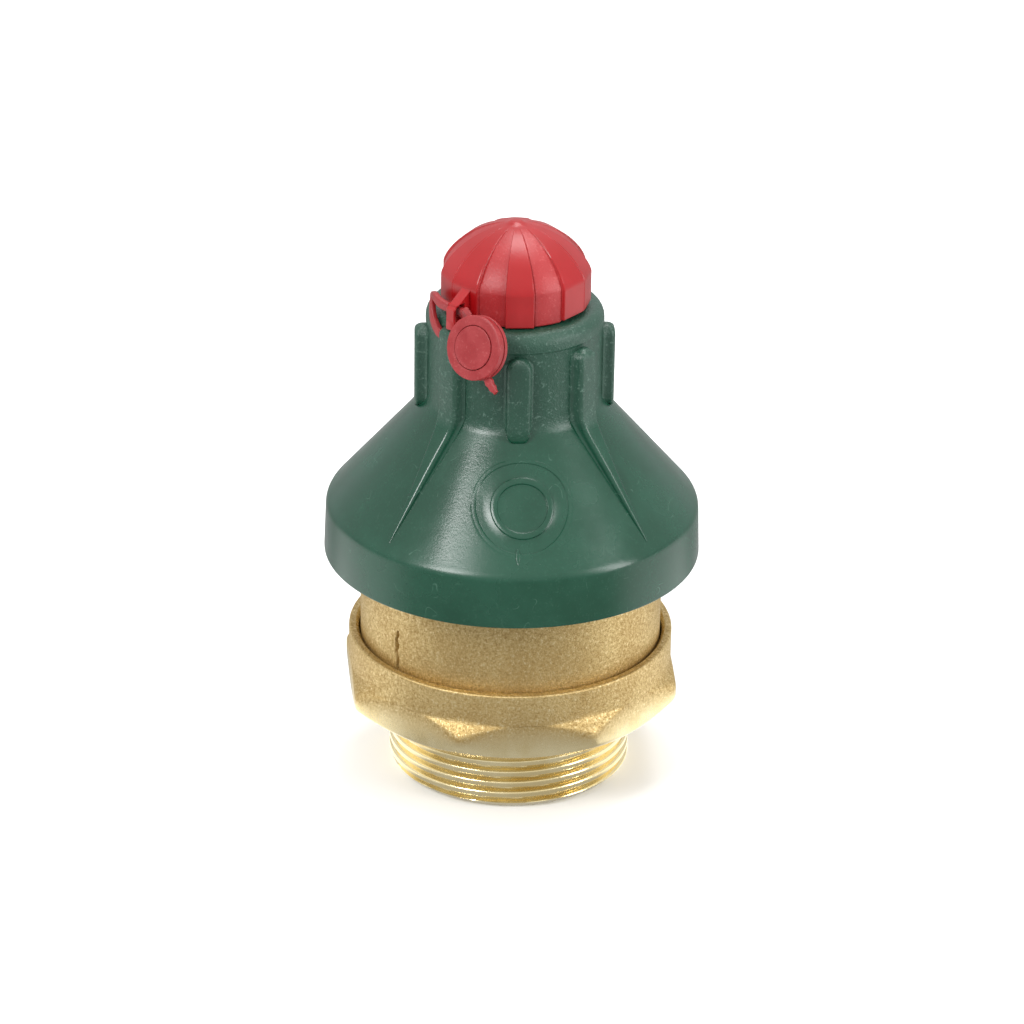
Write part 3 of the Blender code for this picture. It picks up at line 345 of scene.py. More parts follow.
def smoothstep(low, high, value):
    """0 below low, 1 above high and an even S between."""
    share = np.clip((value - low) / (high - low), 0, 1)
    return share * share * (3 - 2 * share)


# ---- Shared shader groups --------------------------------------------------------------------
def new_group(name, numbers, outputs):
    """Empty shader group with number inputs and named outputs, and its first nodes."""
    group = bpy.data.node_groups.new(name, "ShaderNodeTree")
    for label, value in numbers:
        socket = group.interface.new_socket(label, in_out="INPUT", socket_type="NodeSocketFloat")
        socket.default_value = value
    for label, kind in outputs:
        group.interface.new_socket(label, in_out="OUTPUT", socket_type=kind)
    nodes = group.nodes
    return group, nodes.new("NodeGroupInput"), nodes.new("NodeGroupOutput")


def noise(tree, place, scale, detail=3.0, rough=0.5):
    """Noise texture on Object coordinates; a scale may be a socket or a number."""
    made = tree.nodes.new("ShaderNodeTexNoise")
    made.inputs["Detail"].default_value = detail
    made.inputs["Roughness"].default_value = rough
    tree.links.new(place, made.inputs["Vector"])
    if isinstance(scale, (int, float)):
        made.inputs["Scale"].default_value = scale
    else:
        tree.links.new(scale, made.inputs["Scale"])
    return made.outputs["Fac"]


def remapped(tree, value, low, high, to_low=0.0, to_high=1.0):
    """Value stretched from one span to another and held inside it."""
    made = tree.nodes.new("ShaderNodeMapRange")
    made.interpolation_type = "SMOOTHSTEP"
    for label, number in (("From Min", low), ("From Max", high), ("To Min", to_low), ("To Max", to_high)):
        made.inputs[label].default_value = number
    tree.links.new(value, made.inputs["Value"])
    return made.outputs["Result"]


def reckoned(tree, operation, first, second):
    """One Math node; each side is a socket or a number."""
    made = tree.nodes.new("ShaderNodeMath")
    made.operation = operation
    for socket, value in zip(made.inputs, (first, second)):
        if isinstance(value, (int, float)):
            socket.default_value = value
        else:
            tree.links.new(value, socket)
    return made.outputs["Value"]


def grain_group():
    """Cast or spark-eroded grain: two sizes of noise, and a mask of its few highest spots."""
    group, given, out = new_group(
        "grain", [("Scale", 2500.0)], [("Height", "NodeSocketFloat"), ("Specks", "NodeSocketFloat")])
    place = group.nodes.new("ShaderNodeTexCoord").outputs["Object"]
    fine = noise(group, place, given.outputs["Scale"], 2.0, 0.6)
    wide = noise(group, place, reckoned(group, "MULTIPLY", given.outputs["Scale"], 0.37), 2.0)
    both = reckoned(group, "ADD", reckoned(group, "MULTIPLY", fine, 0.6),
                    reckoned(group, "MULTIPLY", wide, 0.4))
    group.links.new(both, out.inputs["Height"])
    group.links.new(remapped(group, both, 0.54, 0.66), out.inputs["Specks"])
    return group


def blotch_group():
    """Broad uneven patches, such as handling and mould marks leave."""
    group, given, out = new_group("blotches", [("Scale", 90.0)], [("Mask", "NodeSocketFloat")])
    place = group.nodes.new("ShaderNodeTexCoord").outputs["Object"]
    patches = noise(group, place, given.outputs["Scale"], 4.0, 0.6)
    group.links.new(remapped(group, patches, 0.35, 0.68), out.inputs["Mask"])
    return group


def scratch_group():
    """Fine scuffs: thin level lines of a stretched noise, broken up by a second noise."""
    group, given, out = new_group(
        "scuffs", [("Scale", 160.0), ("Width", 0.012)], [("Mask", "NodeSocketFloat")])
    place = group.nodes.new("ShaderNodeTexCoord").outputs["Object"]
    turn = group.nodes.new("ShaderNodeMapping")
    turn.inputs["Rotation"].default_value = (0.4, 0.7, 0.3)
    turn.inputs["Scale"].default_value = (1.0, 0.28, 1.0)
    group.links.new(place, turn.inputs["Vector"])
    lines = noise(group, turn.outputs["Vector"], given.outputs["Scale"], 1.0, 0.4)
    near = reckoned(group, "ABSOLUTE", reckoned(group, "SUBTRACT", lines, 0.5), 0.0)
    thin = reckoned(group, "LESS_THAN", near, given.outputs["Width"])
    breaks = remapped(group, noise(group, place, 320.0, 2.0), 0.56, 0.64)
    group.links.new(reckoned(group, "MULTIPLY", thin, breaks), out.inputs["Mask"])
    return group


def turning_group():
    """Tool marks of a lathe: fine rings that follow the height and the radius."""
    group, given, out = new_group("turning_marks", [("Scale", 5200.0)], [("Height", "NodeSocketFloat")])
    place = group.nodes.new("ShaderNodeTexCoord").outputs["Object"]
    apart = group.nodes.new("ShaderNodeSeparateXYZ")
    group.links.new(place, apart.inputs["Vector"])
    squares = [reckoned(group, "POWER", apart.outputs[k], 2.0) for k in ("X", "Y")]
    radius = reckoned(group, "SQRT", reckoned(group, "ADD", *squares), 0.0)
    along = reckoned(group, "ADD", apart.outputs["Z"], reckoned(group, "MULTIPLY", radius, 0.7))
    joined = group.nodes.new("ShaderNodeCombineXYZ")
    group.links.new(along, joined.inputs["X"])
    group.links.new(noise(group, joined.outputs["Vector"], given.outputs["Scale"], 2.0, 0.7),
                    out.inputs["Height"])
    return group


GROUPS = {}


def placed(tree, name, **numbers):
    """A shared group's node in a material, with its own numbers."""
    makers = {"grain": grain_group, "blotches": blotch_group, "scuffs": scratch_group,
              "turning_marks": turning_group}
    if name not in GROUPS:
        GROUPS[name] = makers[name]()
    made = tree.nodes.new("ShaderNodeGroup")
    made.node_tree = GROUPS[name]
    for label, value in numbers.items():
        made.inputs[label].default_value = value
    return made


# ---- Materials -------------------------------------------------------------------------------
def srgb(red, green, blue):
    """Screen colour, 0 to 255, as a linear colour."""
    share = np.array([red, green, blue]) / 255
    linear = np.where(share <= 0.04045, share / 12.92, ((share + 0.055) / 1.055) ** 2.4)
    return (*linear.tolist(), 1.0)


def blank(name, metallic=0.0, roughness=0.5):
    """Material with a Principled shader; metallic is set on the shader's own socket."""
    made = bpy.data.materials.new(name)
    made.use_nodes = True
    shader = made.node_tree.nodes["Principled BSDF"]
    shader.inputs["Metallic"].default_value = metallic
    shader.inputs["Roughness"].default_value = roughness
    return made, made.node_tree, shader


def mixed(tree, share, first, second):
    """Colour between two, by a share; each is a colour or a socket."""
    made = tree.nodes.new("ShaderNodeMix")
    made.data_type = "RGBA"
    tree.links.new(share, made.inputs["Factor"])
    for label, colour in (("A", first), ("B", second)):
        socket = [s for s in made.inputs if s.name == label and s.type == "RGBA"][0]
        if isinstance(colour, tuple):
            socket.default_value = colour
        else:
            tree.links.new(colour, socket)
    return [s for s in made.outputs if s.type == "RGBA"][0]


def bumped(tree, height, distance, strength, shader, under=None):
    """Bump from a height in metres, on top of another bump if one is given."""
    made = tree.nodes.new("ShaderNodeBump")
    made.inputs["Distance"].default_value = distance
    made.inputs["Strength"].default_value = strength
    tree.links.new(height, made.inputs["Height"])
    if under is not None:
        tree.links.new(under, made.inputs["Normal"])
    if shader is not None:
        tree.links.new(made.outputs["Normal"], shader.inputs["Normal"])
    return made.outputs["Normal"]


def worked_share(tree):
    """The share that a mesh keeps for each point, as a socket."""
    made = tree.nodes.new("ShaderNodeAttribute")
    made.attribute_name = "worked"
    return made.outputs["Fac"]


def cast_surface(tree, grain):
    """Colour and roughness of cast brass: uneven in tone, with painted shade darkening its pits and painted
    glints as bright spots.
    """
    patches = placed(tree, "blotches", Scale=120.0)
    tone = mixed(tree, patches.outputs["Mask"], *(srgb(*colour) for colour in CAST_TONES))
    # painted shade: the grain's pits are darkened
    pit_shade = remapped(tree, grain.outputs["Height"], 0.34, 0.54)
    deep = mixed(tree, pit_shade, srgb(*CAST_PIT_SHADE_TONE), tone)
    # painted glints: the grain's highest spots are lightened
    tone = mixed(tree, grain.outputs["Specks"], deep, srgb(*CAST_GLINT_TONE))
    return tone, remapped(tree, grain.outputs["Height"], 0.38, 0.62, 0.66, 0.46), patches


def cast_brass():
    """Sand-cast and blasted brass: grain with painted glints, painted shade in its pits, uneven in tone."""
    made, tree, shader = blank("cast_brass_grain", 1.0)
    grain = placed(tree, "grain", Scale=4600.0)
    tone, rough, _ = cast_surface(tree, grain)
    tree.links.new(tone, shader.inputs["Base Color"])
    tree.links.new(rough, shader.inputs["Roughness"])
    bumped(tree, grain.outputs["Height"], CAST_GRAIN_DEPTH, 0.7, shader)
    return made


def turned_brass():
    """Machined brass with the fine rings of the lathe and faint stains."""
    made, tree, shader = blank("turned_brass_rings", 1.0)
    rings = placed(tree, "turning_marks", Scale=5200.0)
    patches = placed(tree, "blotches", Scale=140.0)
    tone = mixed(tree, patches.outputs["Mask"], srgb(226, 202, 146), srgb(206, 178, 118))
    tree.links.new(tone, shader.inputs["Base Color"])
    rough = remapped(tree, patches.outputs["Mask"], 0.0, 1.0, 0.20, 0.34)
    tree.links.new(rough, shader.inputs["Roughness"])
    bumped(tree, rings.outputs["Height"], 0.00003, 0.5, shader)
    return made


def body_brass():
    """The body's brass: machined below the octagon and inside, cast grain outside, by the share
    that its mesh keeps."""
    made, tree, shader = blank("body_brass_mixed", 1.0)
    share = worked_share(tree)
    grain = placed(tree, "grain", Scale=4600.0)
    rings = placed(tree, "turning_marks", Scale=5200.0)
    # cast tone, with painted shade in the pits and painted glints on the peaks
    cast, rough, patches = cast_surface(tree, grain)
    bright = mixed(tree, patches.outputs["Mask"], srgb(246, 230, 184), srgb(232, 212, 160))
    tree.links.new(mixed(tree, share, cast, bright), shader.inputs["Base Color"])
    smooth = reckoned(tree, "MULTIPLY", share, -0.36)
    tree.links.new(reckoned(tree, "ADD", rough, smooth), shader.inputs["Roughness"])
    left = reckoned(tree, "SUBTRACT", 1.0, share)
    pits = reckoned(tree, "MULTIPLY", grain.outputs["Height"], left)
    under = bumped(tree, pits, CAST_GRAIN_DEPTH, 0.7, None)
    bumped(tree, reckoned(tree, "MULTIPLY", rings.outputs["Height"], share), 0.00003, 0.22, shader, under)
    return made


def green_plastic():
    """Moulded green plastic: glossy with scuffs on the bell, grained on the neck, where painted sheen makes
    it paler and painted glints sit on its grain.
    """
    made, tree, shader = blank("green_plastic_moulded")
    grain = placed(tree, "grain", Scale=2600.0)
    patches = placed(tree, "blotches", Scale=70.0)
    scuffs = placed(tree, "scuffs", Scale=190.0, Width=0.0035)
    place = tree.nodes.new("ShaderNodeTexCoord")
    apart = tree.nodes.new("ShaderNodeSeparateXYZ")
    tree.links.new(place.outputs["Object"], apart.inputs["Vector"])
    upper = remapped(tree, apart.outputs["Z"], 0.0768, 0.0795)
    tone = mixed(tree, patches.outputs["Mask"], srgb(10, 56, 39), srgb(15, 64, 46))
    # painted sheen: the neck's base colour is lighter
    tone = mixed(tree, reckoned(tree, "MULTIPLY", upper, 0.7), tone, srgb(34, 68, 54))
    # painted glints on the neck's grain peaks
    painted_glints = remapped(tree, grain.outputs["Height"], 0.54, 0.70)
    painted_glints = reckoned(tree, "MULTIPLY", reckoned(tree, "MULTIPLY", painted_glints, upper), 0.20)
    tone = mixed(tree, painted_glints, tone, srgb(150, 176, 164))
    tone = mixed(tree, reckoned(tree, "MULTIPLY", grain.outputs["Specks"], 0.12), tone, srgb(60, 98, 80))
    tone = mixed(tree, reckoned(tree, "MULTIPLY", scuffs.outputs["Mask"], 0.25), tone, srgb(90, 124, 108))
    tree.links.new(tone, shader.inputs["Base Color"])
    rough = remapped(tree, patches.outputs["Mask"], 0.0, 1.0, 0.20, 0.28)
    rough = reckoned(tree, "ADD", rough, reckoned(tree, "MULTIPLY", upper, 0.16))
    tree.links.new(rough, shader.inputs["Roughness"])
    pits = reckoned(tree, "MULTIPLY", grain.outputs["Height"], reckoned(tree, "ADD", upper, 0.12))
    bumped(tree, pits, 0.00020, 0.9, shader)
    return made


def red_plastic():
    """Moulded red plastic: smooth and deep on the raised panels, grained between, where painted sheen makes
    the sunk panels pale and pink-specked.
    """
    made, tree, shader = blank("red_plastic_moulded")
    share = worked_share(tree)
    grain = placed(tree, "grain", Scale=2500.0)
    patches = placed(tree, "blotches", Scale=110.0)
    smooth = mixed(tree, patches.outputs["Mask"], srgb(142, 5, 9), srgb(150, 12, 17))
    # painted sheen: the sunk panels' base is paler and pinker, and their grain peaks are pink
    sunk_sheen_tone = mixed(tree, patches.outputs["Mask"], srgb(146, 24, 27), srgb(156, 40, 42))
    sheen_specked = mixed(tree, reckoned(tree, "MULTIPLY", grain.outputs["Specks"], 0.16), sunk_sheen_tone,
                    srgb(214, 116, 114))
    tree.links.new(mixed(tree, share, smooth, sheen_specked), shader.inputs["Base Color"])
    tree.links.new(remapped(tree, share, 0.0, 1.0, 0.32, 0.44), shader.inputs["Roughness"])
    pits = reckoned(tree, "MULTIPLY", grain.outputs["Height"], reckoned(tree, "ADD", share, 0.15))
    bumped(tree, pits, 0.00012, 0.55, shader)
    return made


def red_seal():
    """Softer red plastic of the seal: matt, pinkish and faintly mottled."""
    made, tree, shader = blank("red_seal_matt")
    grain = placed(tree, "grain", Scale=3000.0)
    patches = placed(tree, "blotches", Scale=260.0)
    tone = mixed(tree, patches.outputs["Mask"], srgb(132, 22, 26), srgb(142, 34, 37))
    tone = mixed(tree, reckoned(tree, "MULTIPLY", grain.outputs["Specks"], 0.3), tone, srgb(180, 90, 88))
    tree.links.new(tone, shader.inputs["Base Color"])
    tree.links.new(remapped(tree, patches.outputs["Mask"], 0.0, 1.0, 0.40, 0.55), shader.inputs["Roughness"])
    bumped(tree, grain.outputs["Height"], 0.00006, 0.5, shader)
    return made


def steel():
    """Drawn and zinc-plated steel with a slight cloud."""
    made, tree, shader = blank("steel_drawn", 1.0)
    patches = placed(tree, "blotches", Scale=400.0)
    tree.links.new(mixed(tree, patches.outputs["Mask"], srgb(170, 172, 176), srgb(202, 202, 200)),
                   shader.inputs["Base Color"])
    tree.links.new(remapped(tree, patches.outputs["Mask"], 0.0, 1.0, 0.22, 0.38), shader.inputs["Roughness"])
    bumped(tree, placed(tree, "turning_marks", Scale=6000.0).outputs["Height"], 0.00002, 0.4, shader)
    return made


def rubber():
    """Black rubber with a dusty grain."""
    made, tree, shader = blank("black_rubber_dull")
    grain = placed(tree, "grain", Scale=3500.0)
    tree.links.new(mixed(tree, grain.outputs["Specks"], srgb(30, 30, 31), srgb(58, 57, 56)),
                   shader.inputs["Base Color"])
    tree.links.new(remapped(tree, grain.outputs["Height"], 0.3, 0.7, 0.8, 0.6), shader.inputs["Roughness"])
    bumped(tree, grain.outputs["Height"], 0.00004, 0.5, shader)
    return made


def white_plastic():
    """Natural white plastic, slightly yellowed in patches."""
    made, tree, shader = blank("white_plastic_natural")
    patches = placed(tree, "blotches", Scale=240.0)
    tree.links.new(mixed(tree, patches.outputs["Mask"], srgb(226, 222, 210), srgb(238, 236, 228)),
                   shader.inputs["Base Color"])
    tree.links.new(remapped(tree, patches.outputs["Mask"], 0.0, 1.0, 0.40, 0.52), shader.inputs["Roughness"])
    bumped(tree, placed(tree, "grain", Scale=2800.0).outputs["Height"], 0.00003, 0.4, shader)
    return made


# ---- Brass pieces ----------------------------------------------------------------------------
def valve_body(finish):
    """Closed loop of rings round the axis. The outer radius is a helical trapezoid wave on the
    thread, then a foot chamfer, the octagon as a power mean of its eight flats, a top slope and
    the round collar; the loop comes back down the bores."""
    bearing = np.linspace(0, 2 * math.pi, ROUND_COLUMNS + 60, endpoint=False)
    z = np.linspace(0, FOOT_Z, THREAD_ROWS)[:, None]
    phase = (z - THREAD_FIRST_Z) / THREAD_PITCH - bearing / (2 * math.pi)
    away = np.abs((phase + 0.5) % 1 - 0.5) * 2
    wave = 0.10 * np.clip(away / 0.46, 0, 1) ** 2 + 0.90 * smoothstep(0.44, 0.94, away)
    thread = THREAD_R - (THREAD_R - THREAD_ROOT_R) * 0.8 * wave
    thread = np.minimum(thread, THREAD_END_R + z * 1.1)
    out = smoothstep(THREAD_RUNOUT_Z - 0.0006, THREAD_RUNOUT_Z, z)
    thread = thread * (1 - out) + (THREAD_ROOT_R + 0.0001) * out
    rows = [np.stack([thread, np.broadcast_to(z, thread.shape)], -1)]

    flats = FLAT_BEARING + np.arange(8) * math.pi / 4
    cosines = np.maximum(np.cos(bearing - flats[:, None]), 0)
    octagon = FLAT_R / (cosines ** CORNER_POWER).sum(0) ** (1 / CORNER_POWER)
    level = lambda radius, height: np.stack(np.broadcast_arrays(
        np.asarray(radius, float), np.asarray(height, float) + 0 * bearing), -1)
    corners = np.stack([
        level(THREAD_ROOT_R + 0.0001, FOOT_Z),
        level(FOOT_R, FOOT_Z),
        level(octagon, FOOT_Z + 0.0003 + (octagon - FOOT_R) * FOOT_SLOPE),
        level(octagon, FLAT_TOP_Z - (octagon - COLLAR_R) * FLAT_TOP_SLOPE - 0.0002),
        level(COLLAR_R, FLAT_TOP_Z + 0.0001),
        level(COLLAR_R, COLLAR_TOP_Z),
        level(COLLAR_BORE_R + 0.0006, COLLAR_TOP_Z),
        level(COLLAR_BORE_R, COLLAR_TOP_Z - 0.0007),
        level(COLLAR_BORE_R, LEDGE_Z),
        level(SLEEVE_BORE_R, LEDGE_Z),
        level(SLEEVE_BORE_R, POCKET_Z),
        level(POCKET_R, POCKET_Z),
        level(POCKET_R, FOOT_Z),
        level(BORE_R, FOOT_Z),
        level(BORE_R, 0.0),
        level(THREAD_END_R, 0.0),
    ])
    radii = np.array([0.0002, 0.0003, 0.0007, 0.0010, 0.0016, 0.00045, 0.0001, 0.0001, 0.0002,
                      0.0001, 0.0001, 0.0001, 0.0001, 0.0001, 0.0002, 0.00005])
    rows.append(rounded(corners, radii, ARC_STEPS)[ARC_STEPS:-ARC_STEPS])
    grid = np.concatenate(rows)
    step = np.arange(len(grid))
    ring = np.linalg.norm(grid - np.roll(grid, 1, 0), axis=-1).max(1) > 2e-7
    grid = grid[ring]
    points = around(grid[..., 0], bearing[None, :], grid[..., 1])
    cast = (step >= THREAD_ROWS + 2 * ARC_STEPS) & (step < THREAD_ROWS + 5 * ARC_STEPS + 2)
    cast = cast[ring].astype(float)
    values = np.repeat(1.0 - cast, len(bearing))
    return piece("valve_body_fine", [shell(points, wrap_rows=True)], "housing", finish,
                 ["valve_body"], values)


def outlet_sleeve(finish):
    """Tube with a narrow parting slit sunk into its front left, a hub on the axis and three
    rounded arms between them."""
    near = SLIT_BEARING + np.array([-0.6, -0.32, -0.24, -0.12, 0.0, 0.12, 0.24, 0.32, 0.6]) * 0.001 / SLEEVE_R
    even = np.linspace(-math.pi, math.pi, ROUND_COLUMNS, endpoint=False)
    even = even[np.abs(even - SLIT_BEARING) > 0.0007 / SLEEVE_R]
    bearing = np.sort(np.concatenate([even, near]))
    outer = np.concatenate([[SLEEVE_Z], np.linspace(0.026, 0.044, 60), [0.05, SLEEVE_TOP_Z]])
    corners = [(SLEEVE_R, height) for height in outer]
    corners += [(SLEEVE_BORE_R, SLEEVE_TOP_Z), (SLEEVE_BORE_R, SLEEVE_Z)]
    radii = [0.0003] + [0.0] * (len(outer) - 2) + [0.0004, 0.0003, 0.0003]
    outline = thinned(rounded(corners, radii, 3))
    radius, height = outline[:, :1], outline[:, 1:]
    wander = 0.00012 * np.sin(height * 900) + 0.00008 * np.sin(height * 2300)
    across = np.abs((bearing[None, :] - SLIT_BEARING) * SLEEVE_R - wander)
    across = across - 0.00016 * np.exp(-((height - 0.0335) / 0.0011) ** 2)
    depth = (1 - smoothstep(0.00012, 0.00032, across)) * smoothstep(SLIT_Z[0] - 0.001, SLIT_Z[0], height)
    depth = depth * (1 - smoothstep(SLIT_Z[1] - 0.0005, SLIT_Z[1] + 0.0003, height))
    radius = radius - 0.0008 * depth * (radius > SLEEVE_R - 0.001)
    tube = shell(around(radius, bearing[None, :], height), wrap_rows=True)
    hub = turned([(BUSH_R, HUB_Z[0]), (HUB_R, HUB_Z[0]), (HUB_R, HUB_Z[1]), (SPIGOT_R, HUB_Z[1]),
                  (SPIGOT_R, SPIGOT_TOP_Z), (BUSH_R, SPIGOT_TOP_Z)],
                 [0.0001, 0.0008, 0.0008, 0.0006, 0.0003, 0.0001], SMALL_COLUMNS)
    middle = (HUB_Z[0] + HUB_Z[1]) / 2
    arms = []
    for k in range(3):
        turn = math.pi + k * 2 * math.pi / 3
        span = np.linspace(HUB_R - 0.0016, SLEEVE_BORE_R + 0.0016, 14)
        flare = 0.0008 * (np.linspace(-1, 1, 14) ** 4)
        path = around(span, turn, middle)
        arms.append(swept(path, 0.0025 + flare, 0.0025 + flare, np.array([0.0, 0.0, 1.0]), 28, 4.0))
    return piece("outlet_sleeve_fine", [tube, hub] + arms, "housing", finish, ["outlet_sleeve"])


# ---- The bell --------------------------------------------------------------------------------
CONE_FALL = (NECK_Z - CONE_Z) / (CONE_R - NECK_R)
CONE_WAY = np.array([1.0, -CONE_FALL]) / math.hypot(1.0, CONE_FALL)
CONE_OUT = np.array([CONE_FALL, 1.0]) / math.hypot(1.0, CONE_FALL)


def badge_distance(radius, bearing):
    """Distance from the badge's centre, measured along the cone and round it."""
    along = (radius - BADGE_CENTRE_R) / CONE_WAY[0]
    turn = (bearing - BADGE_BEARING + math.pi) % (2 * math.pi) - math.pi
    return np.hypot(along, turn * radius)


def badge():
    """Round patch laid on the cone. Its height follows the distance from the centre: a shallow
    recess, one plain raised ring, and a rim that runs out level with the cone."""
    low, high = BADGE_RING
    levels = np.array([
        (0.0003, -0.00018), (0.0020, -0.00018), (0.0035, -0.00018), (low - 0.00018, -0.00018),
        (low - 0.00008, -0.00014), (low + 0.00004, 0.00012), (low + 0.00014, 0.00017),
        (high - 0.00014, 0.00017), (high - 0.00004, 0.00012), (high + 0.00008, -0.00014),
        (high + 0.00018, -0.00018), (0.0078, -0.00018), (BADGE_R - 0.00016, -0.00018),
        (BADGE_R - 0.00008, -0.00010), (BADGE_R, 0.00000), (BADGE_R + 0.0001, 0.000012),
        (BADGE_R + 0.0004, 0.000012), (BADGE_R + 0.0007, 0.000010), (BADGE_R + 0.0008, -0.00006),
        (BADGE_R + 0.0008, -0.00040), (0.0060, -0.00060), (0.0003, -0.00060)])
    levels = np.concatenate([[(0.0, -0.00018)], levels, [(0.0, -0.00060)]])
    turn = np.linspace(0, 2 * math.pi, 160, endpoint=False)
    reach, lift = levels[:, :1], levels[:, 1:]
    along, across = reach * np.sin(turn), reach * np.cos(turn)
    radius = BADGE_CENTRE_R - along * CONE_WAY[0]
    height = NECK_Z - (radius - NECK_R) * CONE_FALL
    bearing = BADGE_BEARING + across / radius
    radius, height = radius + lift * CONE_OUT[0], height + lift * CONE_OUT[1]
    return shell(around(radius, bearing, height), ends="poles")


def rib(crown, width, rise, bearing, edge=0.0008, foot=0.0005, sunk=0.0008):
    """Rib on a bearing: each ring crosses a crown line of radius and height, with rounded upper
    edges, flat sides and feet that flare out where they meet the wall they stand on."""
    along = np.gradient(crown, axis=0)
    along /= np.linalg.norm(along, axis=1, keepdims=True)
    outward = np.stack([-along[:, 1], along[:, 0]], 1)
    upright = smoothstep(NECK_Z + 0.0020, NECK_Z + 0.0040, crown[:, 1:])
    outward = outward * (1 - upright) + np.array([1.0, 0.0]) * upright
    outward /= np.linalg.norm(outward, axis=1, keepdims=True)
    half = np.asarray(width)[:, None] / 2
    rise = np.broadcast_to(rise, len(crown))[:, None]
    soft = np.minimum(edge, half * 0.85)
    soft = np.minimum(soft, rise * 0.6 + 0.0001)
    flare = np.minimum(foot, rise * 0.45) * np.clip(half * 2 / RIB_WIDTH, 0, 1) ** 2
    turn = np.radians([0, 22, 45, 68, 90])[None, :]
    side = np.concatenate([
        half + flare, half + flare, half + flare * 0.35, half,
        half - soft + soft * np.cos(turn)], 1)
    deep = np.concatenate([
        rise + sunk, rise + 0.00002, rise - flare * 0.45, rise - flare,
        soft - soft * np.sin(turn)], 1)
    side = np.concatenate([side, -side[:, ::-1]], 1)
    deep = np.concatenate([deep, deep[:, ::-1]], 1)
    radius = crown[:, :1] - deep * outward[:, :1]
    height = crown[:, 1:] - deep * outward[:, 1:]
    across = np.array([math.cos(bearing), math.sin(bearing), 0.0])
    return shell(around(radius, bearing, height) + side[..., None] * across)


def round_end(distance, width):
    """Half width of a bar whose end is a half circle, at a distance from that end."""
    share = np.clip(distance / (width / 2), 0, 1)
    return width * np.sqrt(np.maximum(1 - (1 - share) ** 2, 0.004))


def fallen(distance, reach):
    """How far a crown drops at a distance from its end, along a quarter circle."""
    near = np.clip(reach - distance, 0, reach)
    return reach - np.sqrt(reach ** 2 - near ** 2)


def short_rib(bearing):
    """Upright rib on the neck with a half circle at both ends."""
    length = RIB_TOP_Z - RIB_FOOT_Z
    share = (1 - np.cos(np.linspace(0, math.pi, 44))) / 2
    z = RIB_TOP_Z - length * share
    width = np.minimum(round_end(RIB_TOP_Z - z, RIB_WIDTH), round_end(z - RIB_FOOT_Z, RIB_WIDTH))
    crown = np.stack([np.full_like(z, RIB_R), z], 1)
    crown[:, 0] -= fallen(RIB_TOP_Z - z, 0.0017) + fallen(z - RIB_FOOT_Z, 0.0013)
    return rib(crown, width, crown[:, 0] - NECK_R, bearing)


def gusset_rib(bearing, top, square):
    """Rib that comes down the neck, turns out over the cone and narrows to a point on it."""
    tip = np.array([GUSSET_TIP_R, NECK_Z - (GUSSET_TIP_R - NECK_R) * CONE_FALL]) + CONE_OUT * 0.00012
    knee = np.array([RIB_R, NECK_Z + 0.0002])
    corners = np.array([(RIB_R, top), knee, tip])
    line = rounded(corners, [0, 0.0030, 0], 9)[9:18]
    line = divided(np.concatenate([corners[:1], line, corners[-1:]]), 0.0006)
    start = np.linspace(0, 1, 12)[1:-1, None] ** 1.6 * (line[1] - line[0]) + line[0]
    line = np.concatenate([line[:1], start, line[1:]])
    length = np.concatenate([[0], np.cumsum(np.linalg.norm(np.diff(line, axis=0), axis=1))])
    on_cone = np.clip((line[:, 0] - RIB_R) / (GUSSET_TIP_R - RIB_R), 0, 1)
    width = RIB_WIDTH * (1 - on_cone) + 0.0003 * on_cone
    if square:
        width = np.minimum(width, round_end(length + 0.0011, RIB_WIDTH))
    else:
        width = np.minimum(width, round_end(length, RIB_WIDTH))
    wall = (line[:, 1] - (NECK_Z - (line[:, 0] - NECK_R) * CONE_FALL)) * CONE_OUT[1]
    above = line[:, 0] - NECK_R
    rise = np.where(line[:, 1] > NECK_Z + 0.0008, above, np.minimum(above, wall))
    drop = fallen(length, 0.0009 if square else 0.0017)
    line[:, 0] -= drop
    rise = rise - drop
    return rib(line, width, np.maximum(rise, 0.0001), bearing, sunk=0.0009)


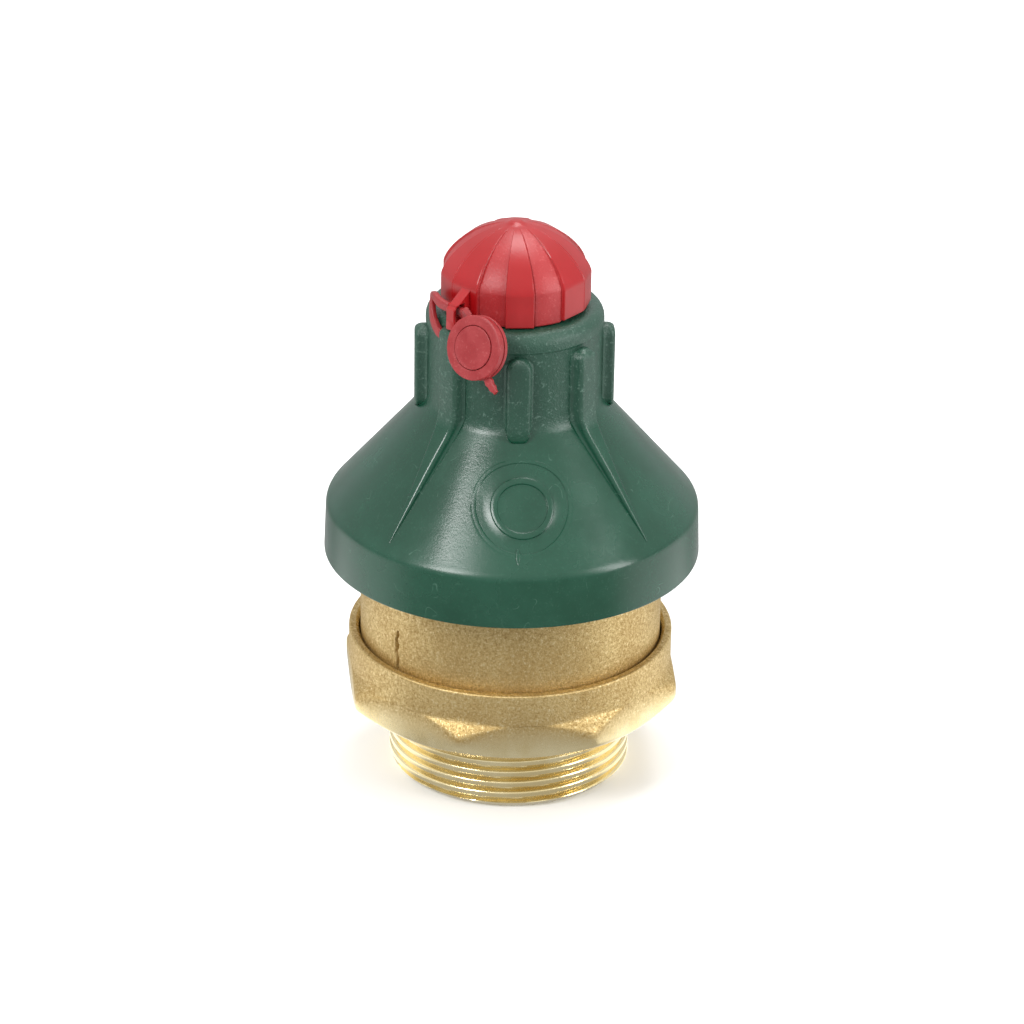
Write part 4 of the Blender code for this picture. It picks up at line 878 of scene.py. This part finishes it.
def bell_hood(finish):
    """Closed loop of rings: skirt, cone, neck, ring, oval shoulder and the spigot under the cap,
    then back down the inside. Inside the badge the cone is sunk out of the patch's way."""
    turn = np.linspace(0, math.pi / 2, 8)[1:]
    shoulder = np.stack([SHOULDER_R + (RING_R - SHOULDER_R) * np.cos(turn),
                         RING_Z[1] + (SHOULDER_Z - RING_Z[1]) * np.sin(turn)], 1)
    lower = [(SKIRT_R, SKIRT_Z), (CONE_R, CONE_Z), (NECK_R, NECK_Z), (NECK_R, RING_Z[0]),
             (RING_R, RING_Z[0] + 0.0002), (RING_R, RING_Z[1])]
    upper = [(SPIGOT_CAP_R, SHOULDER_Z), (SPIGOT_CAP_R, 0.1000), (0.0119, 0.1000), (0.0119, 0.1010),
             (SPIGOT_CAP_R, 0.1010), (SPIGOT_CAP_R, 0.1030), (0.0112, 0.1030), (0.0112, 0.0917),
             (0.0090, 0.0917), (0.0090, 0.0887), (0.01435, 0.0887), (0.01435, 0.0785),
             (CONE_R - 0.0022, CONE_Z - 0.0004), (SKIRT_R - 0.0020, SKIRT_Z)]
    corners = np.concatenate([lower, shoulder, upper])
    radii = np.concatenate([[0.0004, 0.0009, 0.0016, 0.0003, 0.0002, 0.0003], np.zeros(len(shoulder)),
                            np.full(8, 0.00005), np.full(4, 0.0003), [0.0010, 0.0004]])
    outline = thinned(rounded(corners, radii, 5))
    cone = np.argmin(np.hypot(*(outline - (CONE_R - 0.0004, CONE_Z + 0.0004)).T))
    neck = np.argmin(np.hypot(*(outline - (NECK_R + 0.0006, NECK_Z - 0.0006)).T))
    dense = divided(outline[cone:neck + 1], 0.00048)
    outline = np.concatenate([outline[:cone], dense, outline[neck + 1:]])
    bearing = np.linspace(0, 2 * math.pi, 360, endpoint=False)
    radius, height = np.broadcast_arrays(outline[:, :1], outline[:, 1:])
    outside = (np.arange(len(outline)) < neck + len(dense))[:, None]
    sink = 1 - smoothstep(BADGE_R - 0.0002, BADGE_R + 0.00035, badge_distance(radius, bearing))
    sink = sink * 0.0005 * (outside & (radius > NECK_R + 0.001) & (radius < CONE_R - 0.001))
    points = around(radius - sink * CONE_OUT[0], bearing, height - sink * CONE_OUT[1])
    shells = [shell(points, wrap_rows=True), badge()]
    for k in range(RIB_COUNT):
        turned_to = RIB_BEARING + k * 2 * math.pi / RIB_COUNT
        if k % 2:
            shells.append(gusset_rib(turned_to, LUG_TOP_Z if k == LUG_RIB else RIB_TOP_Z, k == LUG_RIB))
        else:
            shells.append(short_rib(turned_to))
    along = np.linspace(0.0, 1.0, 12)
    nib = np.array([0.0338, NECK_Z - (0.0338 - NECK_R) * CONE_FALL]) + CONE_OUT * 0.00012
    line = nib - CONE_WAY * 0.0022 * (1 - along[:, None]) + CONE_WAY * 0.0010 * along[:, None]
    width = 0.0009 * np.sin(np.pi * (0.06 + 0.88 * along))
    shells.append(rib(line, width, 0.00014, RIB_BEARING - 0.015, 0.0003, 0.0001, 0.0005))
    return piece("bell_hood_fine", shells, "housing", finish, ["bell_hood"])


# ---- The cap ---------------------------------------------------------------------------------
def panel_shape(bearing):
    """Radius of the cap's rim on each bearing, how far into a sunk panel it is, whether it is on
    a raised panel, and the fine groove beside each edge. The pattern repeats three times: a
    narrow rib, a sunk panel, two flat raised panels and a sunk panel."""
    third = 2 * math.pi / 3
    turn = (bearing - PANEL_EDGES[0]) % third + PANEL_EDGES[0]
    sunk = np.zeros_like(turn)
    soft = math.radians(0.5)
    for low, high in ((1, 2), (4, 5)):
        sunk += smoothstep(PANEL_EDGES[low] - soft, PANEL_EDGES[low] + soft, turn) * (
            1 - smoothstep(PANEL_EDGES[high] - soft, PANEL_EDGES[high] + soft, turn))
    which = np.clip(np.searchsorted(PANEL_EDGES, turn, side="right") - 1, 0, 4)
    middle = (PANEL_EDGES[which] + PANEL_EDGES[which + 1]) / 2
    half = (PANEL_EDGES[which + 1] - PANEL_EDGES[which]) / 2
    flat = np.cos(half) / np.cos(turn - middle)
    flat = 1 - (1 - flat) * np.where((which == 1) | (which == 4), 0.0, 0.8)
    apart = np.abs(turn[:, None] - PANEL_EDGES[None, 1:5]).min(1)
    groove = 1 - smoothstep(math.radians(0.4), math.radians(1.1), apart)
    return flat * (1 - sunk) + sunk, sunk, ((which == 2) | (which == 3)).astype(float), groove


def cap(finish):
    """Dome from its rim to the pole and back inside. The outer radius on each bearing follows the
    flat and sunk panels, which fade towards a small button on top; the fin is a pierced plate."""
    third = 2 * math.pi / 3
    steps = PANEL_EDGES[:5, None] + np.radians([-1.1, -0.75, -0.4, 0.0, 0.4, 0.75, 1.1])
    even = np.radians(np.arange(0, 120, 1.25))
    clear = np.abs((even[:, None] - steps.ravel() + third / 2) % third - third / 2).min(1) > math.radians(0.3)
    one = np.concatenate([even[clear], steps.ravel() % third])
    bearing = np.sort(np.concatenate([one + k * third for k in range(3)]) % (2 * math.pi))
    flat, sunk, raised, groove = panel_shape(bearing)

    turn = np.linspace(0, math.pi / 2, 40)[1:-1]
    power_r, power_z = CAP_POWERS
    dome_r = CAP_R * np.cos(turn) ** power_r
    dome_z = CAP_SHOULDER_Z + (CAP_TOP_Z - CAP_SHOULDER_Z) * np.sin(turn) ** power_z
    side = np.linspace(CAP_Z, CAP_SHOULDER_Z, 12)
    lower = np.concatenate([[CAP_R - 0.0002], np.full(12, CAP_R)])
    radius = np.concatenate([lower, dome_r])[:, None]
    height = np.concatenate([[CAP_Z], side + np.array([0.0002] + [0.0] * 11), dome_z])[:, None]
    fade = smoothstep(0.0016, 0.0060, radius)
    shape = 1 + (flat - 1) * fade
    outer_r = radius * shape - PANEL_DEPTH * sunk * fade * (0.55 + 0.45 * smoothstep(0.004, CAP_R, radius))
    outer_r = outer_r - 0.00012 * groove * smoothstep(0.0016, 0.0040, radius)
    button = 0.00040 * (1 - smoothstep(0.0011, 0.0019, radius))
    outer_z = height + 0 * bearing - 0.00040 + button
    foot = 1 - smoothstep(CAP_Z + 0.0003, CAP_Z + 0.003, height)
    outer_z = np.where(height < CAP_SHOULDER_Z, height + 0.00045 * raised * foot, outer_z)
    outer = around(outer_r, bearing, outer_z)
    inner_turn = turn[::-1][::3]
    inner_r = CAP_INNER_R * np.concatenate([np.cos(inner_turn) ** power_r, [1.0, 1.0]])[:, None]
    inner_z = np.concatenate([CAP_SHOULDER_Z + CAP_INNER_RISE * np.sin(inner_turn) ** power_z,
                              [CAP_SHOULDER_Z, CAP_Z]])[:, None]
    inner_z = inner_z + 0.00045 * raised * (inner_z < CAP_Z + 0.0001)
    inner = around(inner_r, bearing, inner_z)
    top = np.broadcast_to([0.0, 0.0, CAP_TOP_Z], (1, len(bearing), 3))
    under = np.broadcast_to([0.0, 0.0, CAP_TOP_Z - CAP_ROOF], (1, len(bearing), 3))
    grid = np.concatenate([under, inner, outer, top])
    worked = np.concatenate([np.zeros((1 + len(inner), len(bearing))), sunk * (fade + 0 * sunk),
                             np.zeros((1, len(bearing)))]).ravel()

    fin = plate_with_hole(FIN_OUTLINE, FIN_HOLE, FIN_THICKNESS, FIN_BEARING, FIN_BEVEL)
    values = np.concatenate([worked, np.zeros(len(fin[0]))])
    return piece("cap_fine", [shell(grid, ends="poles"), fin], "cap", finish, ["cap"], values)


# ---- The seal --------------------------------------------------------------------------------
def seal_place():
    """Where the seal hangs: its third column is the way it faces, its second leans up."""
    facing = Vector(around(math.cos(SEAL_TILT), SEAL_FACING, math.sin(SEAL_TILT)).tolist())
    sideways = Vector((0.0, 0.0, 1.0)).cross(facing).normalized()
    turn = Matrix((sideways, facing.cross(sideways), facing)).transposed().to_4x4()
    return np.array(Matrix.Translation(around(*SEAL_CENTRE).tolist()) @ turn)


def hung(made):
    """A shell made about the axis, carried to the seal's place."""
    points, faces = made
    place = seal_place()
    return points @ place[:3, :3].T + place[:3, 3], faces


def seal_disc(finish):
    """Button with a back flange, a groove, a rounded front rim and a pocket for its insert."""
    h, r = SEAL_HALF, SEAL_R
    corners = [(0, -h), (r, -h), (r, -h + 0.0009), (r - 0.0005, -h + 0.0009), (r - 0.0005, -h + 0.0012),
               (r, -h + 0.0012), (r, h - 0.0001), (r - 0.0004, h), (INSERT_R + 0.00012, h),
               (INSERT_R + 0.00012, h - 0.0004), (0, h - 0.0004)]
    radii = [0, 0.0003, 0.0002, 0.0001, 0.0001, 0.0002, 0.0003, 0.0003, 0.0001, 0.0001, 0]
    return piece("seal_disc_fine", [hung(turned_solid(corners, radii, SMALL_COLUMNS))], "seal", finish,
                 ["seal_disc"])


def seal_insert(finish):
    """Low round insert, slightly dished, that locks the seal's strap."""
    h = SEAL_HALF
    corners = [(0, h - 0.0005), (INSERT_R, h - 0.0005), (INSERT_R, h + 0.0002),
               (INSERT_R - 0.0006, h + 0.0001), (0, h + 0.00005)]
    radii = [0, 0.0001, 0.0002, 0.0003, 0]
    return piece("seal_insert_fine", [hung(turned_solid(corners, radii, SMALL_COLUMNS))], "seal", finish,
                 ["seal_insert"])


def seal_tail(finish):
    """Cut end of the strap: it narrows, twists a little and ends in a torn tip."""
    place = seal_place()
    way = np.array([math.sin(math.radians(33)), -math.cos(math.radians(33)), 0.0])
    share = np.linspace(0, 1, 14)[:, None]
    local = way * (SEAL_R - 0.0008 + 0.0040 * share) + np.array([0.0, 0.0, -0.00045])
    local = local + np.array([0.8, 0.6, 0.0]) * 0.0011 * share ** 1.5
    path = local @ place[:3, :3].T + place[:3, 3]
    fall = share[:, 0] ** 3
    wide = 0.0009 * (1 - 0.45 * fall + 0.10 * np.sin(share[:, 0] * 19))
    thick = 0.00045 * (1 - 0.35 * fall)
    outward = np.broadcast_to(place[:3, 2], path.shape)
    return piece("seal_tail_fine", [swept(path, thick, wide, outward, 20, 3.5)], "seal", finish,
                 ["seal_tail"])


def seal_strap(finish):
    """Moulded loop: a flat bar along a smooth curve from the seal through the cap's fin, round to
    the left, and back through the bell's lug to behind the seal."""
    place = seal_place()
    hinge = np.array([-SEAL_R * math.sin(math.radians(38)), SEAL_R * math.cos(math.radians(38)), -0.00081])
    hinge = place[:3, :3] @ hinge + place[:3, 3]
    start = hinge + (hinge - place[:3, 3]) / np.linalg.norm(hinge - place[:3, 3]) * 0.0012
    end = place[:3, :3] @ np.array([-SEAL_R * 0.75, -SEAL_R * 0.25, -SEAL_HALF - 0.0012]) + place[:3, 3]
    radius, degrees, height = np.array(STRAP_ROUTE).T
    middle = around(radius, np.radians(degrees), height)
    path = smooth_path(np.concatenate([[start], middle, [end]]), 9)
    outward = path * np.array([1.0, 1.0, 0.0])
    return piece("seal_strap_fine", [swept(path, STRAP_HALF[0], STRAP_HALF[1], outward, 20, 5.0)], "housing",
                 finish, ["seal_strap"])


# ---- Inner pieces ----------------------------------------------------------------------------
def main_spring(finish):
    """Round wire along a helix, as tall as the CAD spring."""
    low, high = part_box("main_spring")
    wire, mean = SPRING_WIRE_R, SPRING_MEAN_R
    share = np.linspace(0, 1, 360)
    angle = share * SPRING_TURNS * 2 * math.pi
    path = np.stack([mean * np.cos(angle), mean * np.sin(angle),
                     low.z + wire + (high.z - low.z - 2 * wire) * share], 1)
    outward = path * np.array([1.0, 1.0, 0.0])
    made = piece("main_spring_fine", [swept(path, wire, wire, outward, 14, 2.0)], None, finish,
                 ["main_spring"])
    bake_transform(made)
    return made


def seat_ring(finish):
    """Closed outline carried round the axis: a ring with a sloped outer corner at its top."""
    low, high = SEAT_Z
    corners = [(BORE_R, low), (SEAT_R, low), (SEAT_R, high - 0.0010), (BORE_R + 0.0010, high),
               (BORE_R, high)]
    radii = [0.0001, 0.0001, 0.0002, 0.0003, 0.0001]
    return piece("seat_ring_fine", [turned(corners, radii, ROUND_COLUMNS // 2)], "housing", finish,
                 ["seat_ring"])


def finish_cad_nodes(finishes):
    """Give every CAD node a finish from its name, also those that a fine piece stands for."""
    chosen = {
        "cast": ["valve_body", "outlet_sleeve"],
        "bright": ["seat_ring", "valve_disc", "bell_nut", "spring_tube", "lock_nut", "seal_retainer",
                   "retainer_nut", "adjusting_screw"],
        "steel": ["main_spring", "valve_stem", "stem_clip", "lower_spring_plate", "upper_spring_plate"],
        "black": ["body_gasket", "disc_seal", "cap_o_ring", "bell_washer"],
        "white": ["stem_guide_bush"],
        "green": ["bell_hood"],
        "red": ["cap"],
        "seal": ["seal_disc", "seal_insert", "seal_tail", "seal_strap"],
    }
    for kind, names in chosen.items():
        for name in names:
            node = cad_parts[name]
            if not node.material_slots:
                node.data.materials.append(finishes[kind])
            for place in node.material_slots:
                place.material = finishes[kind]


# ---- Stage -----------------------------------------------------------------------------------
def floor():
    """Wide pale sheet just under the thread's end. Only in mirror reflections does it glow, dim in front and
    behind and bright at the sides, as under a tent with lamps at both sides: a painted reflection from a
    sheet that is no lamp."""
    half, under = 3.0, -0.0002
    grid = np.linspace(-half, half, 5)
    x, y = np.meshgrid(grid, grid)
    points = np.stack([x, y, np.full_like(x, under)], -1).reshape(-1, 3)
    index = np.arange(25).reshape(5, 5)
    faces = np.stack([index[:-1, :-1], index[:-1, 1:], index[1:, 1:], index[1:, :-1]], -1).reshape(-1, 4)
    mesh = bpy.data.meshes.new("floor")
    mesh.from_pydata(points.tolist(), [], faces.tolist())
    made, tree, shader = blank("floor_paper", 0.0, 0.8)
    tree.links.new(mixed(tree, placed(tree, "blotches", Scale=3.0).outputs["Mask"],
                         (0.86, 0.86, 0.86, 1.0), (0.88, 0.88, 0.88, 1.0)), shader.inputs["Base Color"])
    place = tree.nodes.new("ShaderNodeTexCoord")
    flat = tree.nodes.new("ShaderNodeSeparateXYZ")
    tree.links.new(place.outputs["Object"], flat.inputs["Vector"])
    squares = [reckoned(tree, "POWER", flat.outputs[k], 2.0) for k in ("X", "Y")]
    squared = reckoned(tree, "ADD", squares[0], reckoned(tree, "ADD", squares[1], 1e-6))
    far = reckoned(tree, "SQRT", squared, 0.0)
    side = reckoned(tree, "DIVIDE", reckoned(tree, "ABSOLUTE", flat.outputs["X"], 0.0), far)
    # painted reflection: the floor glows for glossy rays, dim in front and behind, bright at the sides
    glow = tree.nodes.new("ShaderNodeEmission")
    tone = mixed(tree, remapped(tree, side, 0.80, 0.985), (0.5, 0.5, 0.5, 1.0), (1.5, 1.5, 1.5, 1.0))
    tree.links.new(tone, glow.inputs["Color"])
    path = tree.nodes.new("ShaderNodeLightPath")
    either = tree.nodes.new("ShaderNodeMixShader")
    tree.links.new(path.outputs["Is Glossy Ray"], either.inputs["Fac"])
    tree.links.new(shader.outputs["BSDF"], either.inputs[1])
    tree.links.new(glow.outputs["Emission"], either.inputs[2])
    tree.links.new(either.outputs["Shader"], tree.nodes["Material Output"].inputs["Surface"])
    mesh.materials.append(made)
    sheet = bpy.data.objects.new("floor", mesh)
    bpy.context.scene.collection.objects.link(sheet)


def panel_light(name, place, target, width, height, power):
    """Rectangular soft light that looks at a target."""
    light = bpy.data.lights.new(name, "AREA")
    light.shape = "RECTANGLE"
    light.size, light.size_y = width, height
    light.energy = power
    made = bpy.data.objects.new(name, light)
    made.location = place
    made.rotation_euler = (Vector(target) - Vector(place)).to_track_quat("-Z", "Y").to_euler()
    bpy.context.scene.collection.objects.link(made)


def studio():
    """Bright room with a large soft light above left, one at the right and one behind."""
    world = bpy.data.worlds.new("studio")
    bpy.context.scene.world = world
    world.use_nodes = True
    tree = world.node_tree
    sky = tree.nodes["Background"]
    place = tree.nodes.new("ShaderNodeTexCoord")
    apart = tree.nodes.new("ShaderNodeSeparateXYZ")
    tree.links.new(place.outputs["Generated"], apart.inputs["Vector"])
    share = remapped(tree, apart.outputs["Z"], -0.1, 0.9)
    tree.links.new(mixed(tree, share, (0.62, 0.63, 0.65, 1.0), (1.0, 1.0, 1.0, 1.0)), sky.inputs["Color"])
    sky.inputs["Strength"].default_value = 1.10
    panel_light("key_light", (-0.55, -0.60, 0.75), LIGHT_AIM, 0.35, 0.35, 6.5)
    panel_light("fill_light", (0.75, -0.35, 0.35), LIGHT_AIM, 0.25, 0.6, 3.6)
    panel_light("top_light", (0.10, 0.25, 0.95), LIGHT_AIM, 0.5, 0.4, 4.5)


def camera():
    """Long lens above and in front, rolled a little."""
    lift, roll = CAMERA_LIFT, CAMERA_ROLL
    across = Vector((1.0, 0.0, 0.0))
    up = Vector((0.0, math.sin(lift), math.cos(lift)))
    right = math.cos(roll) * across - math.sin(roll) * up
    over = math.sin(roll) * across + math.cos(roll) * up
    back = right.cross(over)
    lens = bpy.data.cameras.new("camera")
    lens.sensor_width, lens.lens = 36.0, CAMERA_LENS
    lens.clip_start, lens.clip_end = 0.05, 20.0
    made = bpy.data.objects.new("camera", lens)
    turn = Matrix((right, over, back)).transposed().to_4x4()
    made.matrix_world = Matrix.Translation(Vector(CAMERA_AIM) + back * CAMERA_DISTANCE) @ turn
    bpy.context.scene.collection.objects.link(made)
    bpy.context.scene.camera = made


# ---- All of it -------------------------------------------------------------------------------
def main():
    """Camera, room, every piece and its finish."""
    camera()
    floor()
    studio()
    bpy.context.scene.view_settings.view_transform = "Standard"
    finishes = {"cast": cast_brass(), "bright": turned_brass(), "green": green_plastic(),
                "red": red_plastic(), "seal": red_seal(), "steel": steel(), "black": rubber(),
                "white": white_plastic()}
    finish_cad_nodes(finishes)
    valve_body(body_brass())
    outlet_sleeve(finishes["cast"])
    bell_hood(finishes["green"])
    cap(finishes["red"])
    seal_disc(finishes["seal"])
    seal_insert(finishes["seal"])
    seal_tail(finishes["seal"])
    seal_strap(finishes["seal"])
    main_spring(finishes["steel"])
    seat_ring(finishes["bright"])


main()
